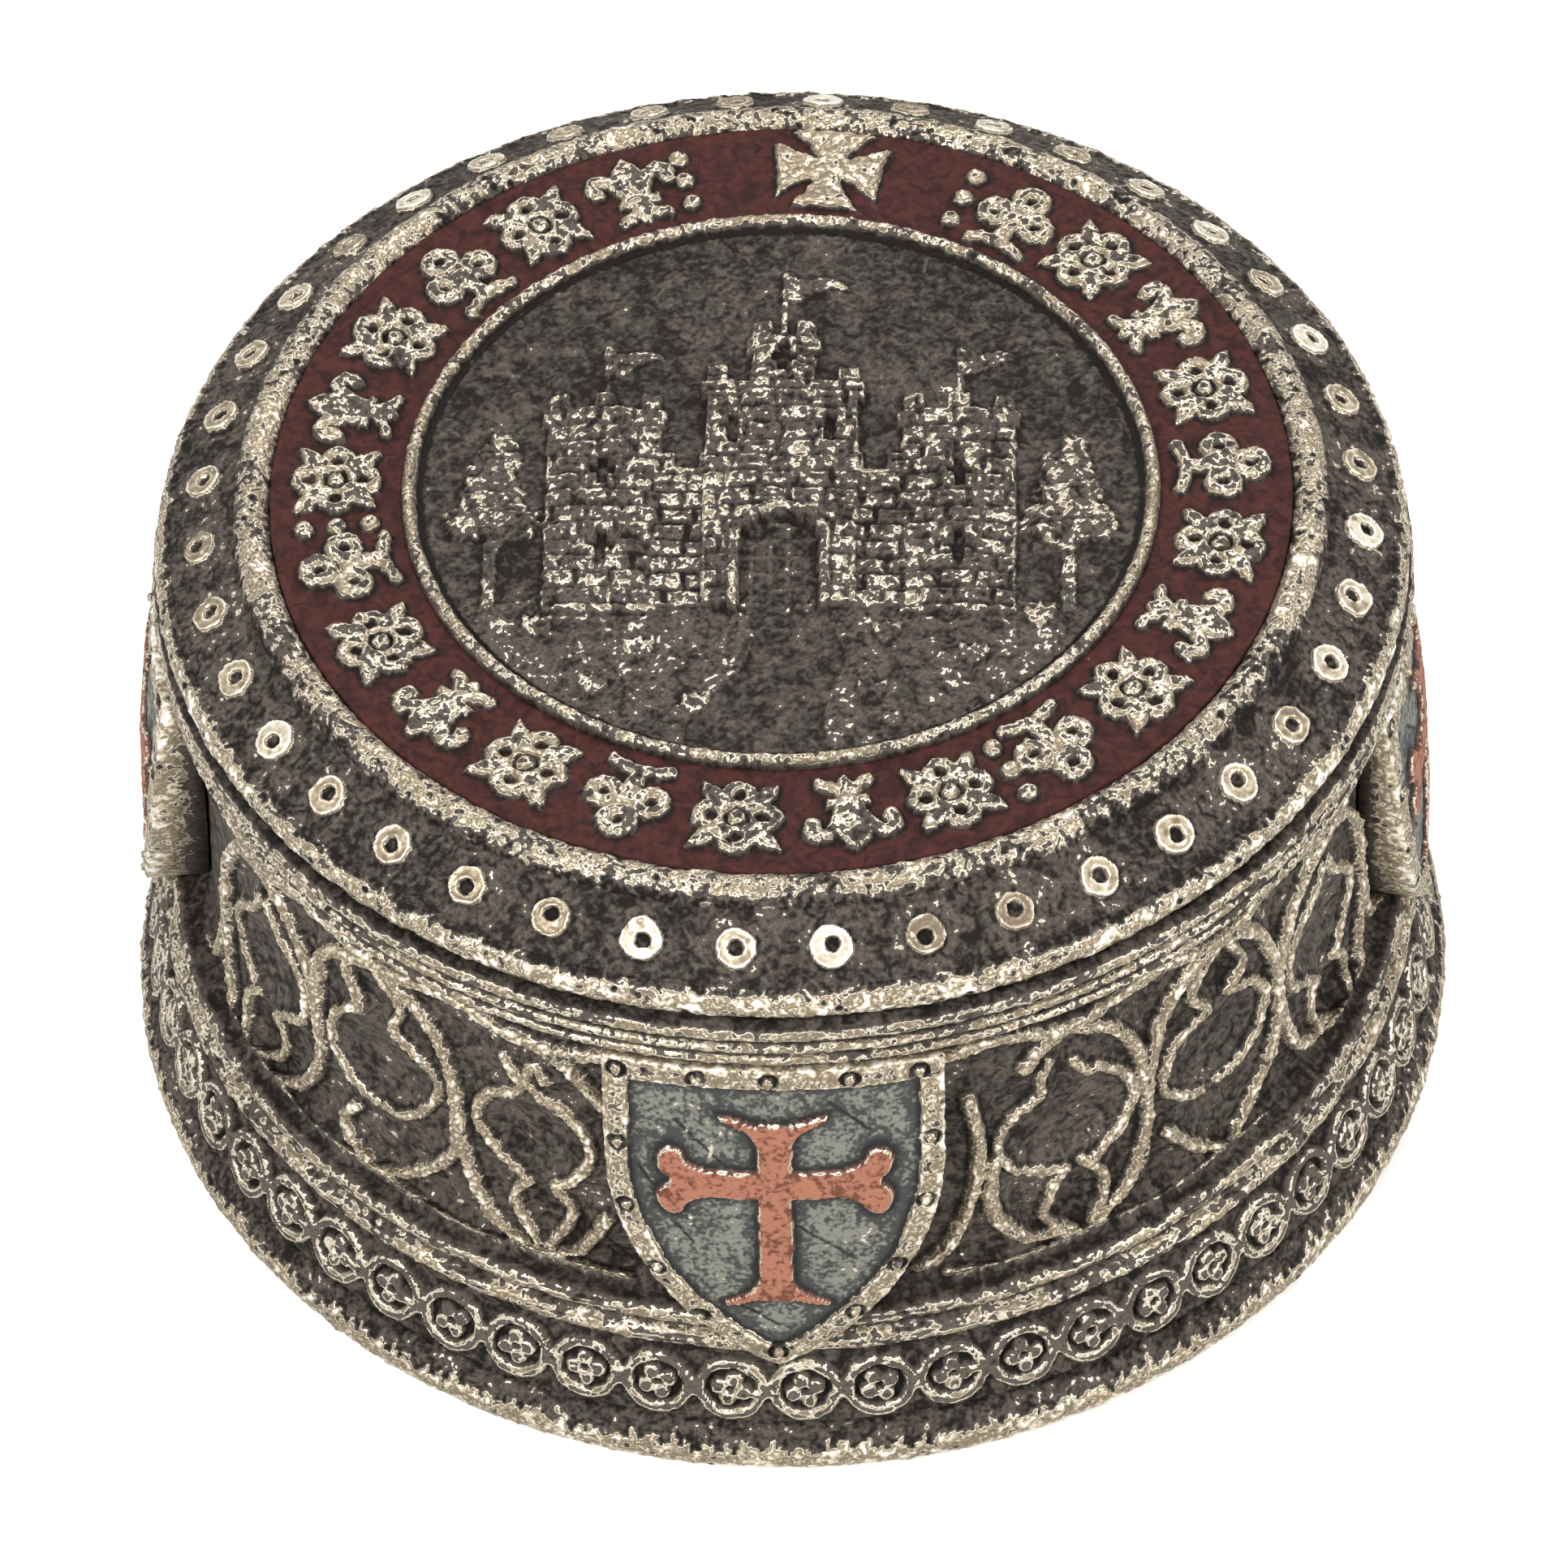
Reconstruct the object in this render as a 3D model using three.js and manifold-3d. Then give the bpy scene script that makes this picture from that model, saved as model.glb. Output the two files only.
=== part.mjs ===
// Round trinket box in cold-cast bronze: a turned base with mouldings, a tracery frieze and a band of
// roundels, a lift-off lid with a studded shoulder and a relief top, four applied shields and a felt pad.
// Millimetres, +Z up. The box stands on z = 0, its axis is Z and the front shield faces -Y.
import * as THREE from "three";
import { mergeVertices } from "three/addons/utils/BufferGeometryUtils.js";
import Module from "manifold-3d";

const wasm = await Module();
wasm.setup();

// Body of the box
const flats = 40; // flats round every turned surface
const wallRadius = 42; // ground of the frieze
const wallThickness = 4.5;
const floorThickness = 4.8;
const floorFillet = 1;
const mouthChamfer = 0.6;

// Felt pad in its recess under the foot
const feltRadius = 41;
const feltThickness = 1.2;
const feltProud = 0.4; // felt below the casting
const feltClearance = 0.4; // round the pad

// Mouldings of the base, bottom to top: how far each stands out from the frieze ground, and its height
const footProud = 6;
const footDepth = 1.4;
const footHeight = 4.1;
const stripProud = 4.3;
const stripHeight = 0.8;
const bandFootProud = 4.9; // the band of roundels leans in from here
const bandTopProud = 3.2;
const bandHeight = 5.8;
const lowerRollProud = 3.7;
const lowerRollHeight = 1.8;
const upperRollProud = 3;
const upperRollHeight = 1.5;
const grooveProud = 2.2; // ground between the rolls
const coveHeight = 2;
const friezeStep = 0.6; // the wall turns out to the rim this far below the top of the frieze
const friezeHeight = 24.1;

// Rim of the base: three fine beads under the seam
const rimProud = 2.3;
const rimGroundProud = 1.5;
const fineBeadHeight = 0.9;
const fineBeadGap = 0.35;
const fineBeadInset = [0.3, 0.2]; // lower and upper fine bead behind the rim's crest
const rimRollHeight = 1.6;

// Lid
const seamGap = 0.3; // lid above the rim
const lidEdgeProud = 1.9; // crest of the lid's edge beyond the frieze ground
const lidEdgeDepth = 1.1;
const lidEdgeHeight = 2.4;
const shoulderRise = 2.8; // studded slope
const shoulderInset = 4.6;
const ringWidth = 2.6;
const ringHeight = 1.4; // over the top of the shoulder
const ringProud = 0.65; // over the painted field
const innerRingRadius = 25.9;
const innerRingWidth = 1.1;
const innerRingHeight = 0.9;
const lidThickness = 3.8;
const spigotDepth = 3.7;
const spigotThickness = 3.5;
const spigotClearance = 0.5; // beside the spigot, in the mouth
const spigotLeadIn = 0.6;

// Studs on the shoulder
const studCount = 40;
const studRadius = 1.45;
const studHeight = 0.45;
const studPhase = -3.3; // degrees from the front
const bossTaper = 0.88; // top of a stud or roundel, as a share of its foot

// Roundels round the band
const roundelCount = 56;
const roundelRadius = 2.5;
const roundelRelief = 0.6;
const roundelPhase = 2.2;

// Shields
const shieldCount = 4;
const shieldHalfWidth = 11.6;
const shieldTopGap = 0.4; // top edge below the rim's beads
const shieldDrop = 5.5; // tip below the frieze
const shieldSide = 8.6; // straight part of each side
const shieldTopProud = 1.7; // face of the plate beyond the frieze ground, at its top edge
const shieldFootProud = 3.95; // and at its tip
const shieldSwell = 2.5; // over 1 the plate swells out in its upper half
const shieldPlate = 1.3;
const shieldBorder = 1.65; // width of the raised border
const shieldBorderRise = 0.45;
const seatHalfWidth = 5; // pad on the wall that carries the shield
const seatMargin = 3; // seat to the top of the shield and to the foot of the frieze
const seatGap = 0.3;
const shieldClearance = 0.35; // round the shield where it crosses the mouldings
const crossWidth = 2.4;
const crossFlare = 3.4; // half width of a splayed end
const crossFlareLength = 2.2;
const crossRise = 0.4;
const crossMargin = 2.55; // top of the cross to the raised border
const crossSideMargin = 1.9; // the ends of its bar to the border
const crossFootMargin = 4.85; // its foot to the border, over the tip
const crossTopArm = 6.3;
const crossNotch = 0.5; // notch in each splayed end

// Tracery of the frieze
const bayPitch = 18; // degrees
const ribWidth = 1.5;
const ribRelief = 1.25;
const foilWidth = 1.2;
const foilRelief = 1.05;
const crossingLow = 1.4; // lower crossing points below the frieze, on the cove
const crossingHigh = 2.8; // upper crossing points below the top of the frieze
const almondFullness = 0.65; // under 1 makes the almonds fuller
const scallop = 1.6; // rise of the shallow arcs over the gaps between the bays
const quarterShift = [0, 0, 0, 4.5]; // turn of the bays in each quarter, degrees
const foilUp = {
  lobe: [[0, 11.2], [2.5, 7.6], [1, 4.8]],
  side: [[1, 4.8], [4.2, 3.4], [5.2, 0.4], [3.8, -2.9], [0, -4.2]],
};
const foilDown = {
  lobe: [[0, -11.4], [2.4, -8], [0.9, -4.2]],
  side: [[0.9, -4.2], [4.2, -2.6], [5.3, 0.6], [3.9, 3.8], [1.4, 7.2]],
};

// Relief of the lid's top
const medallionDrop = 0.5; // ground of the medallion below the painted field
const castleGround = -11.5; // foot of the walls, in front of the middle of the lid
const moundRelief = 0.45;
const castleWalls = { halfWidth: 9, top: 1.5, merlons: 6, relief: 0.9 };
const castleTowers = { middle: 12.4, halfWidth: 4, top: 7, merlons: 3, relief: 1.25 };
const castleGate = { halfWidth: 5.4, top: 9.5, merlons: 4, relief: 1.5 };
const castleTurret = { halfWidth: 2.3, top: 14.2, merlons: 2, relief: 1.2 };
const merlonHeight = 1.5;
const archHalfWidth = 2.7;
const archHeight = 8.4;
const archFloor = 0.6; // floor of the gateway over the medallion's ground
const treeMiddle = 20;
const treeTrunk = { halfWidth: 0.6, height: 7 };
const treeCrown = { halfWidth: 2.4, height: 8.5 };
const treeRelief = 0.8;

// Heights and radii that follow
const castingBottom = feltProud;
const footTop = castingBottom + footHeight;
const bandLow = footTop + stripHeight;
const bandHigh = bandLow + bandHeight;
const lowerRollTop = bandHigh + lowerRollHeight;
const upperRollTop = lowerRollTop + upperRollHeight;
const friezeLow = upperRollTop + coveHeight;
const friezeHigh = friezeLow + friezeHeight;
const rimTop = friezeHigh + 2 * (fineBeadHeight + fineBeadGap) + rimRollHeight;
const crossingTop = friezeHigh - crossingHigh;
const crossingFoot = friezeLow - crossingLow;
const cavityRadius = wallRadius - wallThickness;
const floorLevel = feltThickness + floorThickness;
const lidBottom = rimTop + seamGap;
const shoulderLow = lidBottom + lidEdgeHeight;
const shoulderHigh = shoulderLow + shoulderRise;
const lidEdgeRadius = wallRadius + lidEdgeProud - lidEdgeDepth;
const ringOuter = lidEdgeRadius - shoulderInset;
const fieldRadius = ringOuter - ringWidth;
const fieldLevel = shoulderHigh + ringHeight - ringProud;
const spigotRadius = cavityRadius - spigotClearance;
const medallionRadius = innerRingRadius - innerRingWidth / 2;
const medallionLevel = fieldLevel - medallionDrop;
const shieldTop = friezeHigh - shieldTopGap;
const shieldShoulder = shieldTop - shieldSide;
const shieldTip = friezeLow - shieldDrop;
const blockDepth = 2 * wallRadius; // longer than any cut needs

// Finishes
const bronze = { color: 0x5d5347, roughness: 0.5, metalness: 0.6 };
const lidBronze = { color: 0x6a5d4c, roughness: 0.5, metalness: 0.6 };
const shieldPaint = { color: 0x5a5f60, roughness: 0.6, metalness: 0.2 };
const felt = { color: 0x2b2b2c, roughness: 1, metalness: 0 };

const radians = THREE.MathUtils.degToRad;

// A closed geometry becomes a solid: only positions are kept, shared corners are merged and
// the slivers that a lathe makes on its axis are left out.
function toSolid(geometry) {
  const bare = geometry.index ? geometry.toNonIndexed() : geometry.clone();
  bare.deleteAttribute("normal");
  bare.deleteAttribute("uv");
  const merged = mergeVertices(bare, 1e-4);
  const corners = merged.index.array;
  const kept = [];
  for (let i = 0; i < corners.length; i += 3) {
    const [a, b, c] = corners.slice(i, i + 3);
    if (a !== b && b !== c && c !== a) kept.push(a, b, c);
  }
  const mesh = new wasm.Mesh({
    numProp: 3,
    vertProperties: Float32Array.from(merged.attributes.position.array),
    triVerts: Uint32Array.from(kept),
  });
  return new wasm.Manifold(mesh);
}

function toGeometry(solid) {
  const mesh = solid.getMesh();
  const geometry = new THREE.BufferGeometry();
  geometry.setAttribute("position", new THREE.BufferAttribute(mesh.vertProperties, 3));
  geometry.setIndex(new THREE.BufferAttribute(mesh.triVerts, 1));
  geometry.computeVertexNormals();
  return geometry;
}

// A turned solid from [radius, height] points that run round its section, solid on their left
function turned(points) {
  const profile = points.map(([radius, height]) => new THREE.Vector2(radius, height));
  return new THREE.LatheGeometry(profile, flats).rotateX(Math.PI / 2);
}

// A ring with a rectangular section
function ring(inner, outer, low, high) {
  return turned([[inner, low], [outer, low], [outer, high], [inner, high], [inner, low]]);
}

// A half-oval moulding as profile points, rising from low with its foot at the given radius
function bead(foot, proud, low, height, steps) {
  const points = [];
  for (let i = 0; i <= steps; i++) {
    const turn = Math.PI * (i / steps - 0.5);
    points.push([foot + proud * Math.cos(turn), low + height * (0.5 + 0.5 * Math.sin(turn))]);
  }
  return points;
}

// A flat shape in x and z, pushed out from the axis towards -Y
function block(shape, depth) {
  const geometry = new THREE.ExtrudeGeometry(shape, { depth, bevelEnabled: false, curveSegments: 3 });
  return geometry.rotateX(Math.PI / 2);
}

// Outline of the heater shield, drawn smaller by an inset: straight sides, then two arcs to the tip
function shieldShape(inset) {
  const drop = shieldShoulder - shieldTip;
  const sweep = (shieldHalfWidth ** 2 + drop ** 2) / (2 * shieldHalfWidth);
  const centre = shieldHalfWidth - sweep;
  const radius = sweep - inset;
  const end = Math.acos(-centre / radius);
  const half = shieldHalfWidth - inset;
  const shape = new THREE.Shape();
  shape.moveTo(-half, shieldTop - inset);
  shape.lineTo(-half, shieldShoulder);
  shape.absarc(-centre, shieldShoulder, radius, Math.PI, Math.PI + end, false);
  shape.absarc(centre, shieldShoulder, radius, -end, 0, false);
  shape.lineTo(half, shieldTop - inset);
  shape.closePath();
  return shape;
}

// Cross with splayed ends, centred on the upper part of the shield
function crossShape() {
  const top = shieldTop - shieldBorder - crossMargin;
  const bottom = shieldTip + shieldBorder + crossFootMargin;
  const reach = shieldHalfWidth - shieldBorder - crossSideMargin;
  const middle = top - crossTopArm;
  const half = crossWidth / 2;
  const shape = new THREE.Shape();
  // Each arm runs out, splays to its end and comes back, seen from the middle of the cross
  const arms = [
    [0, 1, top - middle],
    [-1, 0, reach],
    [0, -1, middle - bottom],
    [1, 0, reach],
  ];
  arms.forEach(([dx, dz, length], index) => {
    const corners = [
      [half, half],
      [half, length - crossFlareLength],
      [crossFlare, length],
      [0, length - crossNotch],
      [-crossFlare, length],
      [-half, length - crossFlareLength],
    ];
    corners.forEach(([across, along], step) => {
      const x = dx * along + dz * across;
      const z = middle + dz * along - dx * across;
      if (index === 0 && step === 0) shape.moveTo(x, z);
      else shape.lineTo(x, z);
    });
  });
  shape.closePath();
  return shape;
}

// A leaning shell that follows the shields, between two distances from the face of their plates
function shieldShell(inner, outer) {
  const steps = 3;
  const low = shieldTip - 1;
  const high = shieldTop + 1;
  const face = [];
  for (let i = 0; i <= steps; i++) {
    const height = low + ((high - low) * i) / steps;
    const share = THREE.MathUtils.clamp((height - shieldTip) / (shieldTop - shieldTip), 0, 1);
    const lean = share ** shieldSwell;
    face.push([wallRadius + shieldFootProud + (shieldTopProud - shieldFootProud) * lean, height]);
  }
  const front = face.map(([radius, height]) => [radius + outer, height]);
  const back = face.map(([radius, height]) => [radius + inner, height]).reverse();
  return toSolid(turned([...front, ...back, front[0]]));
}

function makeShield() {
  const outline = toSolid(block(shieldShape(0), blockDepth));
  const inside = toSolid(block(shieldShape(shieldBorder), blockDepth));
  const plate = shieldShell(-shieldPlate, 0).intersect(outline);
  const border = shieldShell(-shieldPlate, shieldBorderRise).intersect(outline).subtract(inside);
  const cross = shieldShell(-shieldPlate, crossRise).intersect(toSolid(block(crossShape(), blockDepth)));
  return toGeometry(plate.add(border).add(cross));
}

// Seats that carry the shields, and the room that the shields take out of the mouldings
function shieldSeats() {
  const shape = new THREE.Shape();
  shape.moveTo(-seatHalfWidth, friezeLow + seatMargin);
  shape.lineTo(seatHalfWidth, friezeLow + seatMargin);
  shape.lineTo(seatHalfWidth, shieldTop - seatMargin);
  shape.lineTo(-seatHalfWidth, shieldTop - seatMargin);
  shape.closePath();
  const behind = shieldShell(-wallThickness, -shieldPlate - seatGap);
  return aroundShields(toSolid(block(shape, blockDepth)).intersect(behind));
}

function shieldPockets() {
  const room = toSolid(block(shieldShape(-shieldClearance), blockDepth));
  return aroundShields(room.intersect(shieldShell(-shieldPlate - seatGap, footProud)));
}

function aroundShields(solid) {
  const copies = [];
  for (let i = 0; i < shieldCount; i++) copies.push(solid.rotate([0, 0, (360 / shieldCount) * i]));
  return wasm.Manifold.union(copies);
}

// A rib along points [degrees, height] on the frieze wall, with a ridge for its section
function rib(points, width, relief) {
  const places = points.map(([degrees, height]) => {
    const turn = radians(degrees);
    const out = new THREE.Vector3(Math.sin(turn), -Math.cos(turn), 0);
    return { out, at: out.clone().multiplyScalar(wallRadius).setZ(height) };
  });
  // The foot of the ridge lies as deep in the wall as its crest stands out
  const section = [[-width, -relief], [width, -relief], [0, relief]];
  const corners = [];
  places.forEach(({ out, at }, i) => {
    const before = places[Math.max(i - 1, 0)].at;
    const after = places[Math.min(i + 1, places.length - 1)].at;
    const side = after.clone().sub(before).normalize().cross(out).normalize();
    for (const [across, up] of section) {
      corners.push(at.clone().addScaledVector(side, across).addScaledVector(out, up));
    }
  });
  const faces = [0, 1, 2];
  for (let i = 0; i < places.length - 1; i++) {
    for (let k = 0; k < 3; k++) {
      const a = 3 * i + k;
      const b = 3 * i + ((k + 1) % 3);
      faces.push(a, a + 3, b, b, a + 3, b + 3);
    }
  }
  const last = 3 * (places.length - 1);
  faces.push(last, last + 2, last + 1);
  const geometry = new THREE.BufferGeometry().setFromPoints(corners);
  geometry.setIndex(faces);
  return toSolid(geometry);
}

// One side of a bay's almond, from the upper crossing to the lower one
function almondArc(centre, side) {
  const steps = 4;
  const points = [];
  for (let i = 0; i <= steps; i++) {
    const t = i / steps;
    const swell = Math.sin(Math.PI * t) ** almondFullness;
    points.push([centre + side * (bayPitch / 2) * swell, crossingTop + (crossingFoot - crossingTop) * t]);
  }
  return rib(points, ribWidth, ribRelief);
}

// Shallow arc over the gap between two neighbouring bays
function gapArc(centre) {
  const points = [-1, 0, 1].map((t) => [centre + (t * bayPitch) / 2, crossingTop + scallop * (1 - t * t)]);
  return rib(points, foilWidth, foilRelief);
}

// The cusped figure inside a bay, as four ribs
function foil(centre, { lobe, side }) {
  const middle = (crossingTop + crossingFoot) / 2;
  const ribs = [];
  for (const [controls, steps] of [[lobe, 2], [side, 3]]) {
    const curve = new THREE.SplineCurve(controls.map(([x, z]) => new THREE.Vector2(x, z)));
    for (const flip of [-1, 1]) {
      const points = curve.getPoints(steps).map(({ x, y }) => {
        return [centre + THREE.MathUtils.radToDeg((flip * x) / wallRadius), middle + y];
      });
      ribs.push(rib(points, foilWidth, foilRelief));
    }
  }
  return ribs;
}

// Three whole bays between each two shields, and at each end the arc that shows beside the shield
function tracery() {
  const ribs = [];
  quarterShift.forEach((shift, quarter) => {
    const middle = 90 * quarter + 45 + shift;
    for (const place of [-1, 0, 1]) {
      const centre = middle + place * bayPitch;
      ribs.push(almondArc(centre, -1), almondArc(centre, 1));
      ribs.push(...foil(centre, place === 0 ? foilUp : foilDown));
    }
    ribs.push(almondArc(middle - 2 * bayPitch, 1), almondArc(middle + 2 * bayPitch, -1));
    for (const place of [-1.5, -0.5, 0.5, 1.5]) ribs.push(gapArc(middle + place * bayPitch));
  });
  return wasm.Manifold.union(ribs);
}

// Low boss, its axis along +X, ready to be turned to its place
function boss(radius, relief, corners) {
  return new THREE.CylinderGeometry(bossTaper * radius, radius, 2 * relief, corners).rotateZ(-Math.PI / 2);
}

function roundels() {
  const lean = Math.atan2(bandFootProud - bandTopProud, bandHeight);
  const solids = [];
  for (let i = 0; i < roundelCount; i++) {
    const turn = radians(roundelPhase + (360 / roundelCount) * i - 90);
    const disc = boss(roundelRadius, roundelRelief, 6)
      .rotateY(-lean)
      .translate(wallRadius + (bandFootProud + bandTopProud) / 2, 0, (bandLow + bandHigh) / 2)
      .rotateZ(turn);
    solids.push(toSolid(disc));
  }
  return wasm.Manifold.union(solids);
}

function studs() {
  const slope = Math.atan2(shoulderInset, shoulderRise);
  const solids = [];
  for (let i = 0; i < studCount; i++) {
    const turn = radians(studPhase + (360 / studCount) * i - 90);
    const disc = boss(studRadius, studHeight, 6)
      .rotateY(-slope)
      .translate(lidEdgeRadius - shoulderInset / 2, 0, (shoulderLow + shoulderHigh) / 2)
      .rotateZ(turn);
    solids.push(toSolid(disc));
  }
  return wasm.Manifold.union(solids);
}

function base() {
  const ground = wallRadius + grooveProud;
  const rimGround = wallRadius + rimGroundProud;
  const rimDepth = rimProud - rimGroundProud;
  const footFoot = wallRadius + footProud - footDepth;
  const firstBead = friezeHigh;
  const secondBead = firstBead + fineBeadHeight + fineBeadGap;
  const rimRoll = secondBead + fineBeadHeight + fineBeadGap;
  const profile = [
    [0, feltThickness],
    [feltRadius + feltClearance, feltThickness],
    [feltRadius + feltClearance, castingBottom],
    ...bead(footFoot, footDepth, castingBottom, footHeight, 4),
    [wallRadius + stripProud, footTop + stripHeight / 2],
    [wallRadius + bandFootProud, bandLow],
    [wallRadius + bandTopProud, bandHigh],
    ...bead(ground, lowerRollProud - grooveProud, bandHigh, lowerRollHeight, 3),
    ...bead(ground, upperRollProud - grooveProud, lowerRollTop, upperRollHeight, 3).slice(1),
    [wallRadius + grooveProud / 3, upperRollTop + coveHeight / 3],
    [wallRadius, friezeLow],
    [wallRadius, friezeHigh - friezeStep],
    ...bead(rimGround, rimDepth - fineBeadInset[0], firstBead, fineBeadHeight, 2),
    ...bead(rimGround, rimDepth - fineBeadInset[1], secondBead, fineBeadHeight, 2),
    ...bead(rimGround, rimDepth, rimRoll, rimRollHeight, 3),
    [cavityRadius + mouthChamfer, rimTop],
    [cavityRadius, rimTop - mouthChamfer],
    [cavityRadius, floorLevel + floorFillet],
    [cavityRadius - floorFillet, floorLevel],
    [0, floorLevel],
  ];
  const body = toSolid(turned(profile));
  const carved = wasm.Manifold.union([body, tracery(), roundels(), shieldSeats()]);
  return toGeometry(carved.subtract(shieldPockets()));
}

// A flat relief that stands on the top of the lid, its foot sunk in the ground
function topRelief(shape, level, rise) {
  const settings = { depth: 2 * rise, bevelEnabled: false, curveSegments: 3 };
  return toSolid(new THREE.ExtrudeGeometry(shape, settings).translate(0, 0, level - rise));
}

// A wall seen from the front, with merlons on its top
function battlement(middle, { halfWidth, top, merlons, relief }) {
  const step = (2 * halfWidth) / (2 * merlons - 1);
  const shape = new THREE.Shape();
  shape.moveTo(middle - halfWidth, castleGround);
  shape.lineTo(middle + halfWidth, castleGround);
  for (let i = 0; i < merlons; i++) {
    const right = middle + halfWidth - 2 * i * step;
    shape.lineTo(right, top + merlonHeight);
    shape.lineTo(right - step, top + merlonHeight);
    if (i < merlons - 1) {
      shape.lineTo(right - step, top);
      shape.lineTo(right - 2 * step, top);
    }
  }
  shape.closePath();
  return topRelief(shape, medallionLevel, relief);
}

// A castle on a mound between two trees
function castle() {
  const mound = new THREE.Shape();
  const edge = Math.sqrt(medallionRadius ** 2 - castleGround ** 2);
  const turn = Math.atan2(-castleGround, edge);
  mound.absarc(0, 0, medallionRadius, -turn - 0.5, -turn, false);
  mound.quadraticCurveTo(0, castleGround + 2, -edge, castleGround);
  mound.absarc(0, 0, medallionRadius, Math.PI + turn, Math.PI + turn + 0.5, false);
  mound.closePath();
  const solids = [topRelief(mound, medallionLevel, moundRelief)];
  for (const side of [-1, 1]) {
    solids.push(battlement(side * castleTowers.middle, castleTowers));
    const trunk = new THREE.Shape();
    const foot = castleGround + treeTrunk.height;
    trunk.moveTo(side * treeMiddle - treeTrunk.halfWidth, castleGround);
    trunk.lineTo(side * treeMiddle + treeTrunk.halfWidth, castleGround);
    trunk.lineTo(side * treeMiddle + treeTrunk.halfWidth, foot + 1);
    trunk.lineTo(side * treeMiddle - treeTrunk.halfWidth, foot + 1);
    trunk.closePath();
    const crown = new THREE.Shape();
    const middle = foot + treeCrown.height / 2;
    crown.absellipse(side * treeMiddle, middle, treeCrown.halfWidth, treeCrown.height / 2, 0, 2 * Math.PI);
    solids.push(topRelief(trunk, medallionLevel, treeRelief), topRelief(crown, medallionLevel, treeRelief));
  }
  solids.push(battlement(0, castleWalls), battlement(0, castleTurret), battlement(0, castleGate));
  const arch = new THREE.Shape();
  const spring = castleGround + archHeight - archHalfWidth;
  arch.moveTo(-archHalfWidth, castleGround);
  arch.lineTo(archHalfWidth, castleGround);
  arch.absarc(0, spring, archHalfWidth, 0, Math.PI, false);
  arch.closePath();
  const gateway = topRelief(arch, medallionLevel + archFloor + castleGate.relief, castleGate.relief);
  return wasm.Manifold.union(solids).subtract(gateway);
}

function lid() {
  const ceiling = fieldLevel - lidThickness;
  const spigotLow = lidBottom - spigotDepth;
  const spigotInner = spigotRadius - spigotThickness;
  const halfRing = innerRingWidth / 2;
  const crest = (inner, outer, low, rise, steps) => {
    const points = [];
    for (let i = 0; i <= steps; i++) {
      const turn = Math.PI * (i / steps);
      const middle = (inner + outer) / 2;
      points.push([middle + ((outer - inner) / 2) * Math.cos(turn), low + rise * Math.sin(turn)]);
    }
    return points;
  };
  const profile = [
    [0, ceiling],
    [spigotInner, ceiling],
    [spigotInner, spigotLow],
    [spigotRadius - spigotLeadIn, spigotLow],
    [spigotRadius, spigotLow + spigotLeadIn],
    [spigotRadius, lidBottom],
    ...bead(lidEdgeRadius, lidEdgeDepth, lidBottom, lidEdgeHeight, 3),
    ...crest(fieldRadius, ringOuter, shoulderHigh, ringHeight, 3).slice(0, -1),
    [fieldRadius, fieldLevel],
    ...crest(medallionRadius, innerRingRadius + halfRing, fieldLevel, innerRingHeight, 3),
    [medallionRadius, medallionLevel],
    [0, medallionLevel],
  ];
  return toGeometry(wasm.Manifold.union([toSolid(turned(profile)), studs(), castle()]));
}

function feltPad() {
  return new THREE.CylinderGeometry(feltRadius, feltRadius, feltThickness, flats)
    .rotateX(Math.PI / 2)
    .translate(0, 0, feltThickness / 2);
}

function part(name, geometry, finish) {
  const mesh = new THREE.Mesh(geometry, new THREE.MeshStandardMaterial(finish));
  mesh.name = name;
  return mesh;
}

const box = new THREE.Group();
box.add(part("box_body", base(), bronze));
box.add(part("felt_pad", feltPad(), felt));
box.add(part("lid", lid(), lidBronze));

const shieldGeometry = makeShield();
["front_shield", "right_shield", "back_shield", "left_shield"].forEach((name, index) => {
  const shield = part(name, shieldGeometry, shieldPaint);
  shield.rotation.z = radians((360 / shieldCount) * index);
  box.add(shield);
});

export default box;
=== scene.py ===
# Round trinket box in cold-cast bronze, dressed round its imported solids.
# Lengths in the dictionaries are millimetres and angles are degrees; meshes are written in metres.
import bpy
import math
import numpy as np
from mathutils import Matrix, Vector


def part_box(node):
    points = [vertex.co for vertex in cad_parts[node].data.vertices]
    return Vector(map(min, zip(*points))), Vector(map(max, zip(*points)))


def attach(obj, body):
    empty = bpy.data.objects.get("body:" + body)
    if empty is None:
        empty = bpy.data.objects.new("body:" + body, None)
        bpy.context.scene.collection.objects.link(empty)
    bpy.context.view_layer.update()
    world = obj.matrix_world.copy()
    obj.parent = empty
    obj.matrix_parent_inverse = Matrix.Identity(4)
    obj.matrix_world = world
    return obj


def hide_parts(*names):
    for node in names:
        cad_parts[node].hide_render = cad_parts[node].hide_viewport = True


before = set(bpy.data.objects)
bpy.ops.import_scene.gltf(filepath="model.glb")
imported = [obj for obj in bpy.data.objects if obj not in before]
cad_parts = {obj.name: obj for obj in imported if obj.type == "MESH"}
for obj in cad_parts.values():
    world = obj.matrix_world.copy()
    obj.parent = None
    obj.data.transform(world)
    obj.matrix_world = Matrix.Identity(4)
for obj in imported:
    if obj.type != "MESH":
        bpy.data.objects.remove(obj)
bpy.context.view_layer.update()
mm = 0.001
tau = 2 * math.pi

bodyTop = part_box("box_body")[1].z / mm
lidBottom = bodyTop + 0.3
wallRadius = 42.0

# Radii and heights of the turned casting, taken over from the solids
form = {
    "castingBottom": 0.4,
    "footTop": 4.5,
    "bandLow": 5.3,
    "bandHigh": 11.1,
    "bandFoot": 46.9,
    "bandHead": 45.2,
    "lowerRollTop": 12.9,
    "upperRollTop": 14.4,
    "friezeLow": 16.4,
    "friezeHigh": 40.5,
    "coreRadius": 40.6,
    "cavityRadius": 37.5,
    "floor": 6.0,
    "underside": 1.2,
}


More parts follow.
